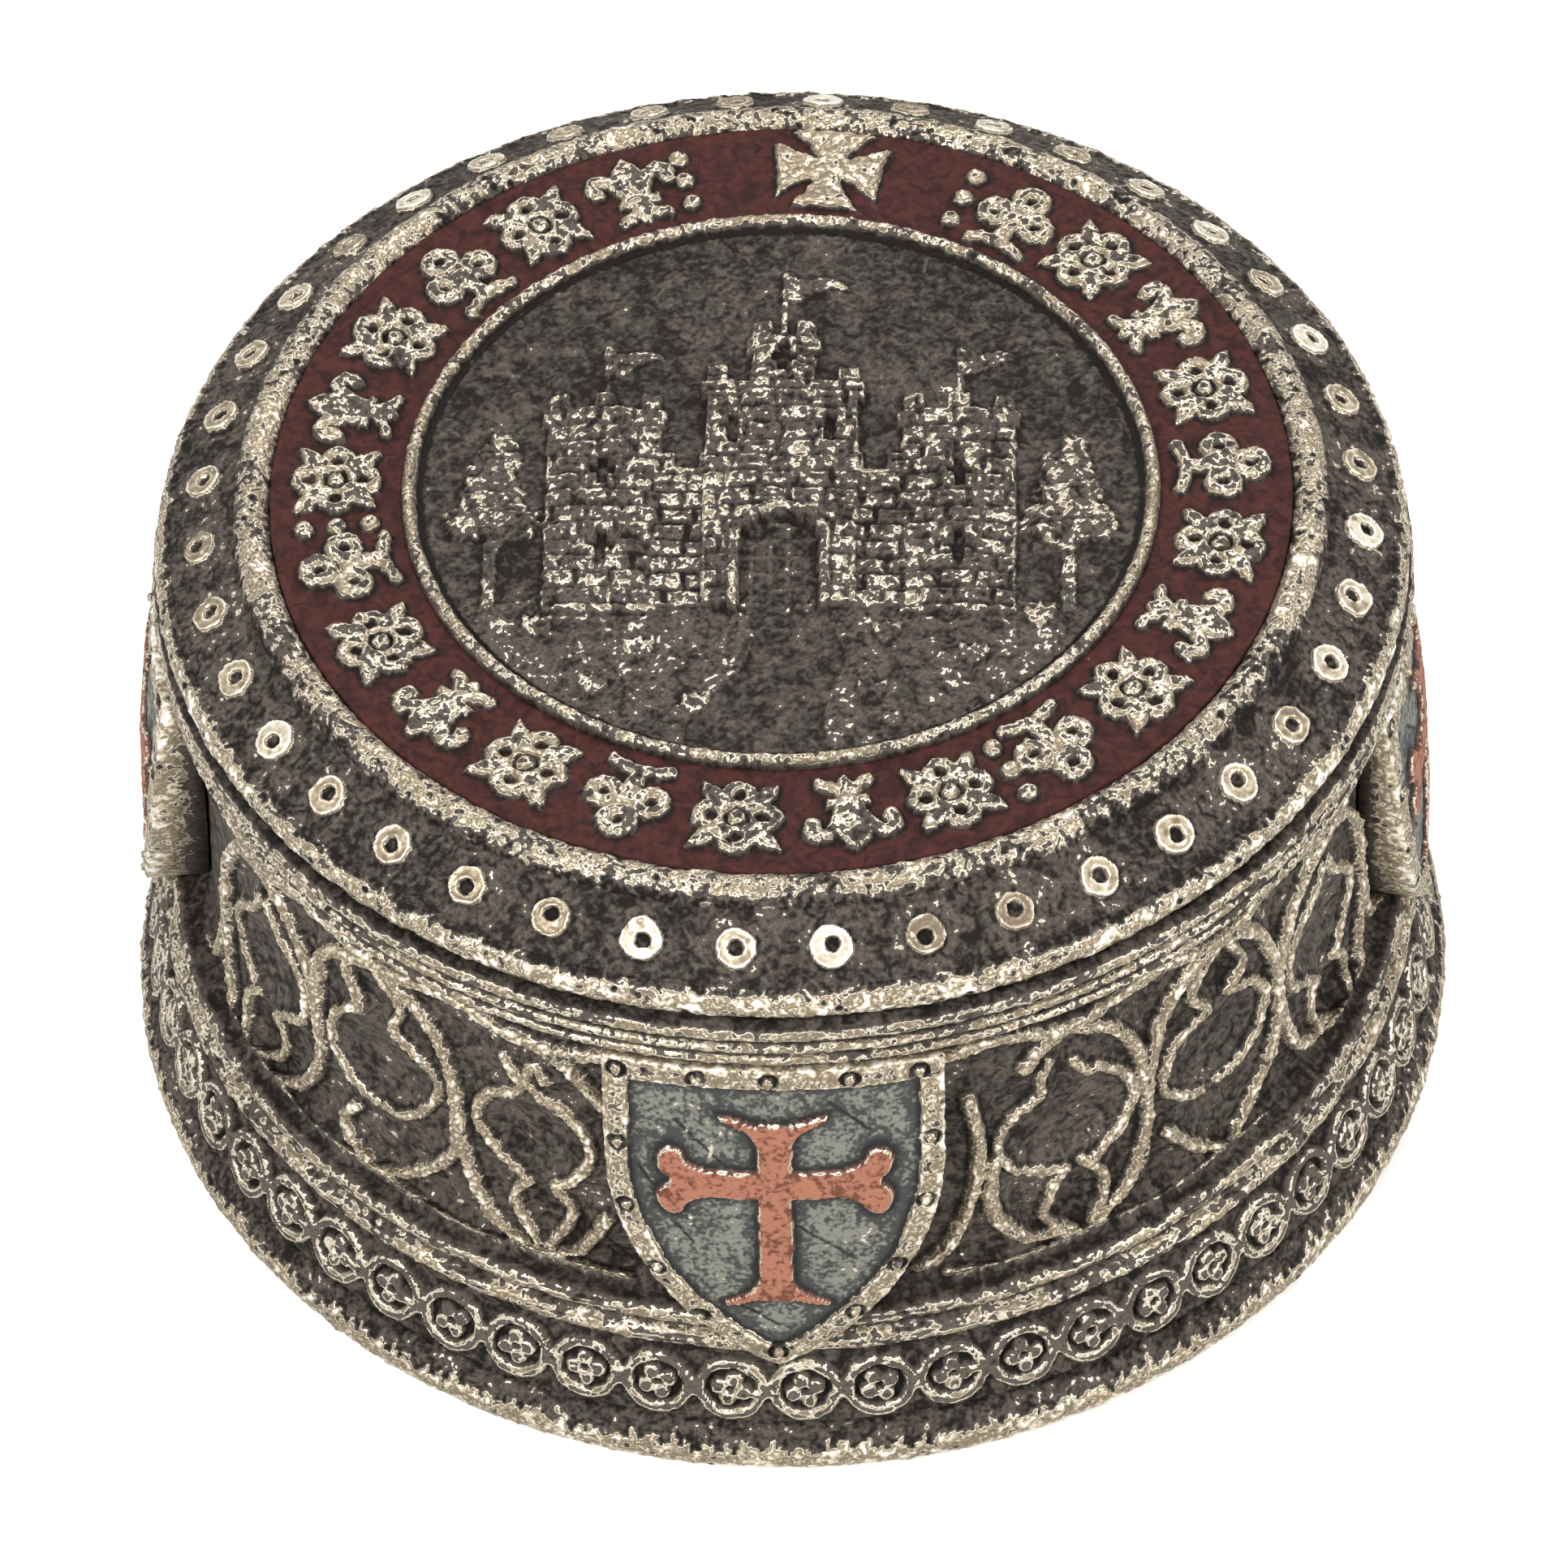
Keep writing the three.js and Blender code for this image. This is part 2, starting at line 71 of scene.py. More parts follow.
# Small helpers

def toLinear(hexColour, alpha=1.0):
    channels = [int(hexColour[i:i + 2], 16) / 255 for i in (1, 3, 5)]
    linear = [c / 12.92 if c <= 0.04045 else ((c + 0.055) / 1.055) ** 2.4 for c in channels]
    return (*linear, alpha)


def getPoints(piece):
    points = np.empty(len(piece.data.vertices) * 3, np.float32)
    piece.data.vertices.foreach_get("co", points)
    return points.reshape(-1, 3).astype(float) / mm


def setPoints(piece, points):
    piece.data.vertices.foreach_set("co", (points * mm).astype(np.float32).ravel())
    piece.data.update()


def smoothStep(low, high, values):
    t = np.clip((values - low) / (high - low), 0, 1)
    return t * t * (3 - 2 * t)


def bead(foot, proud, low, height, steps):
    turns = [math.pi * (i / steps - 0.5) for i in range(steps + 1)]
    return [(foot + proud * math.cos(t), low + height * (0.5 + 0.5 * math.sin(t))) for t in turns]


def crest(inner, outer, low, rise, steps):
    turns = [math.pi * i / steps for i in range(steps + 1)]
    middle, half = (inner + outer) / 2, (outer - inner) / 2
    return [(middle + half * math.cos(t), low + rise * math.sin(t)) for t in turns]


def denser(section, spacing):
    # adds points so that no step along the section is longer than the spacing
    out = [section[0]]
    for (r0, z0), (r1, z1) in zip(section, section[1:]):
        count = max(1, math.ceil(math.hypot(r1 - r0, z1 - z0) / spacing))
        out += [(r0 + (r1 - r0) * i / count, z0 + (z1 - z0) * i / count) for i in range(1, count + 1)]
    return out


def aroundAxis(points):
    # radius of each point and its degrees round the box, 0 at the front and growing towards +X
    return np.hypot(points[:, 0], points[:, 1]), np.degrees(np.arctan2(points[:, 0], -points[:, 1]))


def pushOut(points, outward, upward=0.0):
    scale = 1 + outward / np.maximum(np.hypot(points[:, 0], points[:, 1]), 1e-6)
    points[:, 0] *= scale
    points[:, 1] *= scale
    points[:, 2] += upward


def ripple(a, b, size, seed=0.0):
    # wandering value between about -1 and 1, with waves of about the given size
    total = np.zeros(len(a))
    for k, (turn, pace) in enumerate(((0.3, 1.0), (1.7, 1.31), (2.9, 0.77), (4.4, 1.83), (5.5, 2.41))):
        wave = (a * math.cos(turn) + b * math.sin(turn)) * pace * tau / size
        total += np.sin(wave + seed * (k + 1.7) + 1.3 * np.sin(wave * 0.37 + seed)) / (1 + 0.4 * k)
    return total / 2.4


def smoothMax(a, b, blend):
    return np.logaddexp(a / blend, b / blend) * blend


def turnedPiece(name, section, steps, turn=360.0, start=0.0):
    # one vertex is extruded along the section, and a screw modifier turns it about the axis of the box
    bpy.ops.object.select_all(action="DESELECT")
    bpy.ops.mesh.primitive_plane_add(size=mm, location=(0, 0, 0))
    piece = bpy.context.object
    piece.name = piece.data.name = name
    bpy.ops.object.mode_set(mode="EDIT")
    bpy.ops.mesh.select_all(action="SELECT")
    bpy.ops.mesh.merge(type="CENTER")
    place = Vector((section[0][0] * mm, 0, section[0][1] * mm))
    bpy.ops.transform.translate(value=place)
    for radius, height in section[1:]:
        step = Vector((radius * mm, 0, height * mm)) - place
        bpy.ops.mesh.extrude_region_move(TRANSFORM_OT_translate={"value": step})
        place = place + step
    bpy.ops.mesh.select_all(action="SELECT")
    bpy.ops.mesh.remove_doubles(threshold=0.002 * mm)
    if start:
        bpy.ops.transform.rotate(value=math.radians(-start), orient_axis="Z", center_override=(0, 0, 0))
    bpy.ops.object.mode_set(mode="OBJECT")
    screw = piece.modifiers.new("turn", "SCREW")
    screw.axis = "Z"
    screw.angle = math.radians(turn)
    screw.steps = screw.render_steps = steps
    screw.use_merge_vertices = True
    screw.merge_threshold = 0.002 * mm
    bpy.ops.object.modifier_apply(modifier="turn")
    bpy.ops.object.mode_set(mode="EDIT")
    bpy.ops.mesh.select_all(action="SELECT")
    bpy.ops.mesh.fill_holes(sides=0)
    bpy.ops.mesh.select_all(action="SELECT")
    bpy.ops.mesh.normals_make_consistent(inside=False)
    bpy.ops.object.mode_set(mode="OBJECT")
    return piece


def gridPiece(name, columns, rows):
    bpy.ops.object.select_all(action="DESELECT")
    bpy.ops.mesh.primitive_grid_add(x_subdivisions=columns, y_subdivisions=rows, size=2, location=(0, 0, 0))
    piece = bpy.context.object
    piece.name = piece.data.name = name
    points = np.empty(len(piece.data.vertices) * 3, np.float32)
    piece.data.vertices.foreach_get("co", points)
    return piece, points.reshape(-1, 3)[:, :2].astype(float)


def closeBehind(piece, move=None, shrink=None):
    # the open edge is extruded back and filled, so the sheet becomes a closed plate
    bpy.ops.object.select_all(action="DESELECT")
    piece.select_set(True)
    bpy.context.view_layer.objects.active = piece
    bpy.ops.object.mode_set(mode="EDIT")
    bpy.ops.mesh.select_mode(type="VERT")
    bpy.ops.mesh.select_all(action="SELECT")
    bpy.ops.mesh.remove_doubles(threshold=0.002 * mm)
    bpy.ops.mesh.select_all(action="DESELECT")
    bpy.ops.mesh.select_non_manifold()
    if move:
        bpy.ops.mesh.extrude_region_move(TRANSFORM_OT_translate={"value": [m * mm for m in move]})
    else:
        bpy.ops.mesh.extrude_region_move(TRANSFORM_OT_translate={"value": (0, 0, 0)})
        bpy.ops.transform.resize(value=(shrink, shrink, 1), center_override=(0, 0, 0))
    bpy.ops.mesh.edge_face_add()
    bpy.ops.mesh.select_all(action="SELECT")
    bpy.ops.mesh.normals_make_consistent(inside=False)
    bpy.ops.object.mode_set(mode="OBJECT")


def castSkin(piece, grain, strength, weights=None, kind="SOFT_NOISE"):
    # uneven cast surface: a displace modifier with a procedural texture, applied, and faded by the weights
    before = getPoints(piece)
    texture = bpy.data.textures.new(piece.name + "_skin", "CLOUDS")
    texture.noise_scale = grain * mm
    texture.noise_depth = 2
    texture.noise_type = kind
    modifier = piece.modifiers.new("skin", "DISPLACE")
    modifier.texture = texture
    modifier.texture_coords = "LOCAL"
    modifier.strength = strength * mm
    modifier.mid_level = 0.5
    bpy.ops.object.select_all(action="DESELECT")
    piece.select_set(True)
    bpy.context.view_layer.objects.active = piece
    bpy.ops.object.modifier_apply(modifier="skin")
    if weights is not None:
        setPoints(piece, before + (getPoints(piece) - before) * np.clip(weights, 0, 1)[:, None])


def neighbourMean(values, edges, count):
    a, b = edges[:, 0], edges[:, 1]
    total = np.bincount(a, weights=values[b], minlength=len(values))
    total += np.bincount(b, weights=values[a], minlength=len(values))
    return total / np.maximum(count, 1)


def writeAttribute(piece, name, values):
    layer = piece.data.attributes.get(name) or piece.data.attributes.new(name, "FLOAT", "POINT")
    layer.data.foreach_set("value", np.asarray(values, np.float32))


def dryBrush(piece, relief, gain=1.0, keep=1.0, ragged=1.0):
    # gold is rubbed on what stands out: relief is 0 on the ground and 1 on a crest, and small humps
    # catch more of it than small dips, except at the closed rims of a piece, where keep is 0;
    # ragged is how far the grain of the cast breaks up its edges
    points = getPoints(piece)
    edges = np.empty(len(piece.data.edges) * 2, np.int32)
    piece.data.edges.foreach_get("vertices", edges)
    edges = edges.reshape(-1, 2)
    count = np.bincount(edges.ravel(), minlength=len(points))
    normals = np.empty(len(points) * 3, np.float32)
    piece.data.vertices.foreach_get("normal", normals)
    normals = normals.reshape(-1, 3)
    lengths = np.linalg.norm(points[edges[:, 0]] - points[edges[:, 1]], axis=1)
    spacing = np.median(lengths)
    bulge = np.zeros(len(points))
    for k in range(3):
        bulge += (points[:, k] - neighbourMean(points[:, k], edges, count)) * normals[:, k]
    bulge = np.clip(bulge / spacing, -0.25, 0.25) * keep
    broad = bulge.copy()
    for _ in range(3):
        broad = 0.4 * broad + 0.6 * neighbourMean(broad, edges, count)
    rub = relief + gain * (0.5 * bulge + 1.1 * broad)
    writeAttribute(piece, "rub", np.clip(rub, -0.3, 1.3))
    writeAttribute(piece, "ragged", np.broadcast_to(ragged, len(points)))


def pathDistance(x, z, path):
    best = np.full(len(x), 1e9)
    for (x0, z0), (x1, z1) in zip(path, path[1:]):
        dx, dz = x1 - x0, z1 - z0
        t = np.clip(((x - x0) * dx + (z - z0) * dz) / (dx * dx + dz * dz + 1e-12), 0, 1)
        best = np.minimum(best, np.hypot(x - x0 - t * dx, z - z0 - t * dz))
    return best


def smoothPath(controls, steps=6):
    # a Catmull-Rom curve through the control points
    points = [controls[0], *controls, controls[-1]]
    out = []
    for i in range(len(points) - 3):
        p0, p1, p2, p3 = (np.array(p, float) for p in points[i:i + 4])
        for k in range(steps):
            t = k / steps
            out.append(tuple(0.5 * (2 * p1 + (p2 - p0) * t + (2 * p0 - 5 * p1 + 4 * p2 - p3) * t * t
                                    + (3 * p1 - p0 - 3 * p2 + p3) * t ** 3)))
    return out + [tuple(controls[-1])]


def ridge(distance, halfWidth, relief):
    # flat-topped rib with rounded shoulders
    return relief * smoothStep(halfWidth + 0.22, halfWidth - 0.3, distance)


def finishPiece(piece, node, body, material):
    piece.data.polygons.foreach_set("use_smooth", [True] * len(piece.data.polygons))
    piece.data.materials.clear()
    piece.data.materials.append(material)
    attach(piece, body)
    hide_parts(node)
    piece.data.update()
    print(piece.name, len(piece.data.polygons), "faces")


# Camera, matched to the photograph through the circles of the box

view = {
    "azimuth": 2.05,
    "elevation": 48.593,
    "distance": 624.0,
    "aimHeight": 16.8,
    "focalPixels": 10594.4,
    "framePixels": 1932.0,
    "offsetPixels": (5.39, 32.10),
    "roll": 1.45,
}


def makeCamera():
    azimuth, elevation = math.radians(view["azimuth"]), math.radians(view["elevation"])
    away = Vector((math.sin(azimuth) * math.cos(elevation), -math.cos(azimuth) * math.cos(elevation),
                   math.sin(elevation)))
    aim = Vector((0, 0, view["aimHeight"] * mm))
    camera = bpy.data.cameras.new("camera")
    holder = bpy.data.objects.new("camera", camera)
    bpy.context.collection.objects.link(holder)
    camera.sensor_width = 36
    camera.lens = 36 * view["focalPixels"] / view["framePixels"]
    camera.clip_start, camera.clip_end = 0.05, 20
    turn = (-away).to_track_quat("-Z", "Y").to_matrix().to_4x4()
    # the aim lies a little right of and below the middle of the picture, and the picture is rolled
    acrossTurn = math.atan(view["offsetPixels"][0] / view["focalPixels"])
    upTurn = math.atan(view["offsetPixels"][1] / view["focalPixels"])
    turn = turn @ Matrix.Rotation(upTurn, 4, "X") @ Matrix.Rotation(acrossTurn, 4, "Y")
    turn = turn @ Matrix.Rotation(math.radians(-view["roll"]), 4, "Z")
    holder.matrix_world = Matrix.Translation(aim + away * view["distance"] * mm) @ turn
    bpy.context.scene.camera = holder


makeCamera()


# Materials

def addNode(tree, kind, inputs=None, out=0, **settings):
    # adds a node with its settings and links, and gives back one of its output sockets
    node = tree.nodes.new("ShaderNode" + kind)
    for key, value in settings.items():
        setattr(node, key, value)
    for key, value in (inputs or {}).items():
        if isinstance(value, bpy.types.NodeSocket):
            tree.links.new(value, node.inputs[key])
        else:
            node.inputs[key].default_value = value
    return node.outputs[out]


def newMaterial(name):
    material = bpy.data.materials.new(name)
    material.use_nodes = True
    tree = material.node_tree
    return material, tree, tree.nodes["Principled BSDF"]


# Cold-cast bronze: resin filled with bronze powder, cast in a rubber mould, stained nearly black and
# rubbed with pale gold paste. The stain stays dull and dark in the hollows. Where the paste begins it
# leaves a thin pale line inside a dark one, then a mid bronze, and on the crests pale gold with dark pits.
bronzeLooks = {
    "tones": ((0.0, "#1f1c19"), (0.12, "#3a342f"), (0.3, "#58504a"), (0.42, "#6b6259"), (0.465, "#26221e"),
              (0.495, "#8c8272"), (0.53, "#f0e7d7"), (0.6, "#d8cbb3"), (0.67, "#978974"), (0.76, "#817564"),
              (0.9, "#b2a287"), (1.02, "#e2d5be"), (1.15, "#fbf2e2")),
    "most": 1.2,
    "goldFrom": 0.49,
    "grit": (0.34, 0.7),  # grain of the cast: size in mm, and how much it moves the edge of the gold
    "curl": (1.15, 1.1),
    "cloud": (7.0, 0.5),
    "pit": (0.95, -0.8),
    "oxblood": ("#2f1c1a", "#56302c"),
    "steel": ("#494a49", "#8a897f"),
    # the dark steel is painted shade on the shield beside its raised parts, and the dark of its scratches
    "steelShadeAndScratches": "#242525",
    "brick": ("#74483a", "#b07760"),
}


def bronzeMaterial(name, paint=None):
    material, tree, shader = newMaterial(name)
    looks = bronzeLooks
    place = addNode(tree, "TexCoord", out="Object")
    fine = {"data_type": "RGBA"}
    soft = {"interpolation_type": "SMOOTHSTEP"}
    rub = addNode(tree, "Attribute", out="Fac", attribute_name="rub")
    ragged = addNode(tree, "Attribute", out="Fac", attribute_name="ragged")
    grain, waves = 0.0, {}
    for wave, detail, twist in (("grit", 2.0, 0.0), ("curl", 1.0, 1.2), ("cloud", 2.0, 0.0)):
        size, amount = looks[wave]
        waves[wave] = addNode(tree, "TexNoise", {"Vector": place, "Scale": 1 / (size * mm), "Detail": detail,
                                                 "Distortion": twist}, "Fac")
        middled = addNode(tree, "Math", {0: waves[wave], 1: 0.5}, operation="SUBTRACT")
        grain = addNode(tree, "Math", {0: middled, 1: amount, 2: grain}, operation="MULTIPLY_ADD")
    # round pits keep the dark stain, some of them more than others
    size, amount = looks["pit"]
    away = addNode(tree, "TexVoronoi", {"Vector": place, "Scale": 1 / (size * mm)}, "Distance")
    chance = addNode(tree, "SeparateColor", {"Color": away.node.outputs["Color"]})
    pit = addNode(tree, "MapRange", {"Value": away, "From Min": 0.42, "From Max": 0.15}, **soft)
    pit = addNode(tree, "Math", {0: pit, 1: chance}, operation="MULTIPLY")
    pit = addNode(tree, "Math", {0: pit, 1: rub}, operation="MULTIPLY")
    grain = addNode(tree, "Math", {0: pit, 1: amount, 2: grain}, operation="MULTIPLY_ADD")
    grain = addNode(tree, "Math", {0: grain, 1: 0.08}, operation="ADD")
    wear = addNode(tree, "Math", {0: grain, 1: ragged, 2: rub}, operation="MULTIPLY_ADD")
    share = addNode(tree, "Math", {0: wear, 1: looks["most"]}, operation="DIVIDE")
    colour = addNode(tree, "ValToRGB", {"Fac": share}, "Color")
    stops = colour.node.color_ramp.elements
    for k, (level, tone) in enumerate(looks["tones"]):
        stop = stops[0] if k == 0 else stops.new(level / looks["most"])
        stop.position = level / looks["most"]
        stop.color = toLinear(tone)
    stops[-1].position = 1.0
    gold = addNode(tree, "MapRange", {"Value": wear, "From Min": looks["goldFrom"] - 0.01,
                                      "From Max": looks["goldFrom"] + 0.03}, **soft)
    if paint:
        bare = addNode(tree, "Math", {0: 1.0, 1: gold}, operation="SUBTRACT")
        # on the lid field, paint is 0 in a narrow line round each ornament, so the dark bronze tone there is painted
        # shade
        cover = addNode(tree, "Attribute", out="Fac", attribute_name="paint")
        cover = addNode(tree, "Math", {0: cover, 1: bare}, operation="MULTIPLY")
    if paint == "oxblood":
        mottle = addNode(tree, "Math", {0: waves["curl"], 1: 0.5, 2: rub}, operation="MULTIPLY_ADD")
        mottle = addNode(tree, "MapRange", {"Value": mottle, "From Min": 0.12, "From Max": 0.45}, **soft)
        tone = addNode(tree, "Mix", {0: mottle, 6: toLinear(looks["oxblood"][0]), 7: toLinear(looks["oxblood"][1])},
                       2, **fine)
        colour = addNode(tree, "Mix", {0: cover, 6: colour, 7: tone}, 2, **fine)
    if paint == "shield":
        worn, paintedShadeAndScratches, cross = (addNode(tree, "Attribute", out="Fac", attribute_name=layer)
                              for layer in ("worn", "paintedShadeAndScratches", "cross"))
        worn = addNode(tree, "Math", {0: waves["curl"], 1: 1.3, 2: worn}, operation="MULTIPLY_ADD")
        worn = addNode(tree, "Math", {0: waves["grit"], 1: 1.8, 2: worn}, operation="MULTIPLY_ADD")
        worn = addNode(tree, "MapRange", {"Value": worn, "From Min": 1.55, "From Max": 2.1}, **soft)
        tone = addNode(tree, "Mix", {0: worn, 6: toLinear(looks["steel"][0]), 7: toLinear(looks["steel"][1])},
                       2, **fine)
        # the dark steel tone is painted shade beside the cross and border, and the dark of the scratches
        tone = addNode(tree, "Mix", {0: paintedShadeAndScratches, 6: tone, 7: toLinear(looks["steelShadeAndScratches"])}, 2, **fine)
        mottle = addNode(tree, "Math", {0: waves["curl"], 1: waves["grit"]}, operation="ADD")
        mottle = addNode(tree, "MapRange", {"Value": mottle, "From Min": 0.78, "From Max": 1.08}, **soft)
        red = addNode(tree, "Mix", {0: mottle, 6: toLinear(looks["brick"][0]), 7: toLinear(looks["brick"][1])},
                      2, **fine)
        tone = addNode(tree, "Mix", {0: cross, 6: tone, 7: red}, 2, **fine)
        colour = addNode(tree, "Mix", {0: cover, 6: colour, 7: tone}, 2, **fine)
    tree.links.new(colour, shader.inputs["Base Color"])
    rough = addNode(tree, "MapRange", {"Value": gold, "To Min": 0.62, "To Max": 0.36})
    metal = addNode(tree, "MapRange", {"Value": gold, "To Min": 0.0, "To Max": 0.6})
    tree.links.new(rough, shader.inputs["Roughness"])
    tree.links.new(metal, shader.inputs["Metallic"])
    shader.inputs["Specular IOR Level"].default_value = 0.12
    bump = addNode(tree, "Bump", {"Height": wear, "Strength": 0.6, "Distance": 0.12 * mm})
    tree.links.new(bump, shader.inputs["Normal"])
    return material


bodyBronze = bronzeMaterial("cold_cast_bronze")
lidPaint = bronzeMaterial("cold_cast_bronze_oxblood", "oxblood")
shieldPaint = bronzeMaterial("cold_cast_bronze_painted_shield", "shield")


def feltMaterial():
    # wool felt, needled and cut: dull, with a faint pale fuzz at grazing angles
    material, tree, shader = newMaterial("black_wool_felt")
    place = addNode(tree, "TexCoord", out="Object")
    fibres = addNode(tree, "TexNoise", {"Vector": place, "Scale": 1 / (0.4 * mm), "Detail": 4.0}, "Fac")
    tone = addNode(tree, "Mix", {0: fibres, 6: toLinear("#141415"), 7: toLinear("#2c2c2e")}, 2, data_type="RGBA")
    tree.links.new(tone, shader.inputs["Base Color"])
    shader.inputs["Roughness"].default_value = 0.95
    shader.inputs["Sheen Weight"].default_value = 0.3
    bump = addNode(tree, "Bump", {"Height": fibres, "Strength": 0.8, "Distance": 0.15 * mm})
    tree.links.new(bump, shader.inputs["Normal"])
    return material


feltBlack = feltMaterial()
print("materials ready")


# Foot: a narrow roll with a ragged fringe of gold over its crest, and a groove under the band

foot = {"foot": 46.6, "proud": 1.4, "groove": 46.3, "steps": 1100, "fringe": 3.1, "tooth": 1.3, "pits": 0.7}


def makeFoot():
    f = form
    outer = bead(foot["foot"], foot["proud"], f["castingBottom"], f["footTop"] - f["castingBottom"], 26)
    outer += [(foot["groove"], 4.8), (f["bandFoot"], f["bandLow"])]
    section = denser(outer, 0.24) + [(f["coreRadius"] + 0.8, f["bandLow"]),
                                     (f["coreRadius"] + 0.8, f["castingBottom"])]
    section += [section[0]]
    piece = turnedPiece("foot_roll", section, foot["steps"])
    points = getPoints(piece)
    radius, degrees = aroundAxis(points)
    x, z = np.radians(degrees) * 48, points[:, 2]
    out = smoothStep(foot["foot"] - 1.4, foot["foot"] - 0.2, radius)
    edge = foot["fringe"] + 0.75 * ripple(x, 0 * x, foot["tooth"]) + 0.3 * ripple(x, z, 0.6, 2.0)
    raised = smoothStep(0.25, -0.15, z - edge) * out
    pushOut(points, 0.28 * (raised - 0.6) * out)
    setPoints(piece, points)
    castSkin(piece, 1.4, 0.22, out)
    castSkin(piece, foot["pits"], 0.26, out, "HARD_NOISE")
    relief = 0.12 * out + raised * (0.58 + 0.2 * smoothStep(2.2, 0.9, z) + 0.14 * smoothStep(0.7, 0.1, np.abs(z - edge)))
    keep = smoothStep(0, 0.3, np.minimum(points[:, 2] - f["castingBottom"], f["bandLow"] - points[:, 2])) * out
    dryBrush(piece, relief, 0.8, keep)
    finishPiece(piece, "box_body", "base", bodyBronze)


makeFoot()


# Band of roundels on a leaning ground: flat rings bridged in a chain, each with a four-lobed flower

roundels = {"count": 56, "phase": 2.2, "outer": 2.55, "ring": 0.78, "relief": 0.62, "bridge": 0.68,
            "petal": 0.6, "petalReach": 0.86, "hole": 0.3, "steps": 1800}


def makeBand():
    f, d = form, roundels
    low, high = (f["bandFoot"], f["bandLow"]), (f["bandHead"], f["bandHigh"])
    front = denser([low, high], 0.12)
    section = front + [(f["coreRadius"] + 0.3, f["bandHigh"]), (f["coreRadius"] + 0.3, f["bandLow"]), front[0]]
    piece = turnedPiece("roundel_band", section, d["steps"])
    points = getPoints(piece)
    radius, degrees = aroundAxis(points)
    pitch = 360 / d["count"]
    nearest = np.round((degrees - d["phase"]) / pitch)
    chance = np.sin(nearest * 12.9898 + 4.1) * 43.7
    chance -= np.floor(chance)
    middle = (low[0] + high[0]) / 2
    slant = math.hypot(high[0] - low[0], high[1] - low[1]) / (high[1] - low[1])
    x = np.radians(degrees - d["phase"] - nearest * pitch) * middle
    z = (points[:, 2] - (low[1] + high[1]) / 2) * slant
    around = np.radians(degrees) * middle
    x = x + 0.07 * ripple(around, z, 2.3)
    z = z + 0.07 * ripple(around, z, 2.1, 5.0)
    away = np.hypot(x, z)
    inner = d["outer"] - d["ring"] + 0.08 * ripple(around, z, 1.7, 3.0)
    bridge = smoothMax(d["outer"] - away, d["bridge"] - np.abs(z), 0.14)
    ringShape = np.minimum(bridge, away - inner)
    turn = np.radians(70 * (chance - 0.5))  # the flowers sit at uneven turns
    across, up = x * np.cos(turn) - z * np.sin(turn), x * np.sin(turn) + z * np.cos(turn)
    flower = d["petal"] - np.hypot(np.abs(across) - d["petalReach"], up)
    flower = smoothMax(flower, d["petal"] - np.hypot(across, np.abs(up) - d["petalReach"]), 0.09)
    flower = smoothMax(flower, 0.72 - away, 0.09)
    # on some of them one petal runs out to the ring
    arm = np.minimum(0.34 - np.abs(up), np.where(across > 0, 2.3 - away, -1.0))
    flower = np.where(chance > 0.45, np.maximum(flower, arm), flower)
    flower = np.minimum(flower, away - d["hole"])
    shape = np.maximum(ringShape, flower)
    raised = smoothStep(-0.08, 0.1, shape)
    onFace = radius > middle - 1.2
    edgeFade = smoothStep(0, 0.25, np.minimum(points[:, 2] - f["bandLow"], f["bandHigh"] - points[:, 2]) + 0.1)
    pushOut(points, np.where(onFace, (raised * d["relief"] - 0.12) * edgeFade, 0))
    setPoints(piece, points)
    castSkin(piece, 0.9, 0.08, onFace.astype(float))
    outline = smoothStep(-0.06, 0.04, shape) * smoothStep(0.3, 0.14, shape)
    paintedLowerHighlight = smoothStep(0.6, -1.2, z)  # painted highlight: the lower side of each ring's outline is painted paler
    pocket = smoothStep(0.1, -0.1, ringShape) * (away < inner)
    relief = 0.08 + 0.28 * raised + outline * (0.09 + 0.12 * paintedLowerHighlight) - 0.14 * pocket * (1 - raised)
    dryBrush(piece, np.where(onFace, relief, 0), 0.45, edgeFade * onFace, 0.85 - 0.35 * raised)
    finishPiece(piece, "box_body", "base", bodyBronze)


makeBand()


# Double moulding over the band, streaked along its length

mouldings = {"lower": 45.7, "upper": 45.0, "groove": 44.2, "steps": 900}


def makeMouldings():
    f, d = form, mouldings
    lower = bead(d["groove"], d["lower"] - d["groove"], f["bandHigh"], f["lowerRollTop"] - f["bandHigh"], 16)
    upper = bead(d["groove"], d["upper"] - d["groove"], f["lowerRollTop"], f["upperRollTop"] - f["lowerRollTop"], 14)
    section = denser([(f["bandHead"] - 0.2, f["bandHigh"])] + lower + upper[1:], 0.22)
    section += [(f["coreRadius"] + 0.3, f["upperRollTop"]), (f["coreRadius"] + 0.3, f["bandHigh"]), section[0]]
    piece = turnedPiece("double_moulding", section, d["steps"])
    points = getPoints(piece)
    radius, degrees = aroundAxis(points)
    x, z = np.radians(degrees) * 45, points[:, 2]
    out = smoothStep(d["groove"], d["upper"], radius)
    streak = ripple(x / 9, z, 0.75) + 0.5 * ripple(x / 3, z, 0.5, 4.0)
    pushOut(points, 0.1 * streak * out)
    setPoints(piece, points)
    castSkin(piece, 1.3, 0.22, out)
    castSkin(piece, 0.6, 0.24, out, "HARD_NOISE")
    dryBrush(piece, out * (0.38 + 0.28 * streak + 0.1 * ripple(x, z, 7.0, 1.0)) + 0.08, 1.0, out, 0.8)
    finishPiece(piece, "box_body", "base", bodyBronze)


makeMouldings()


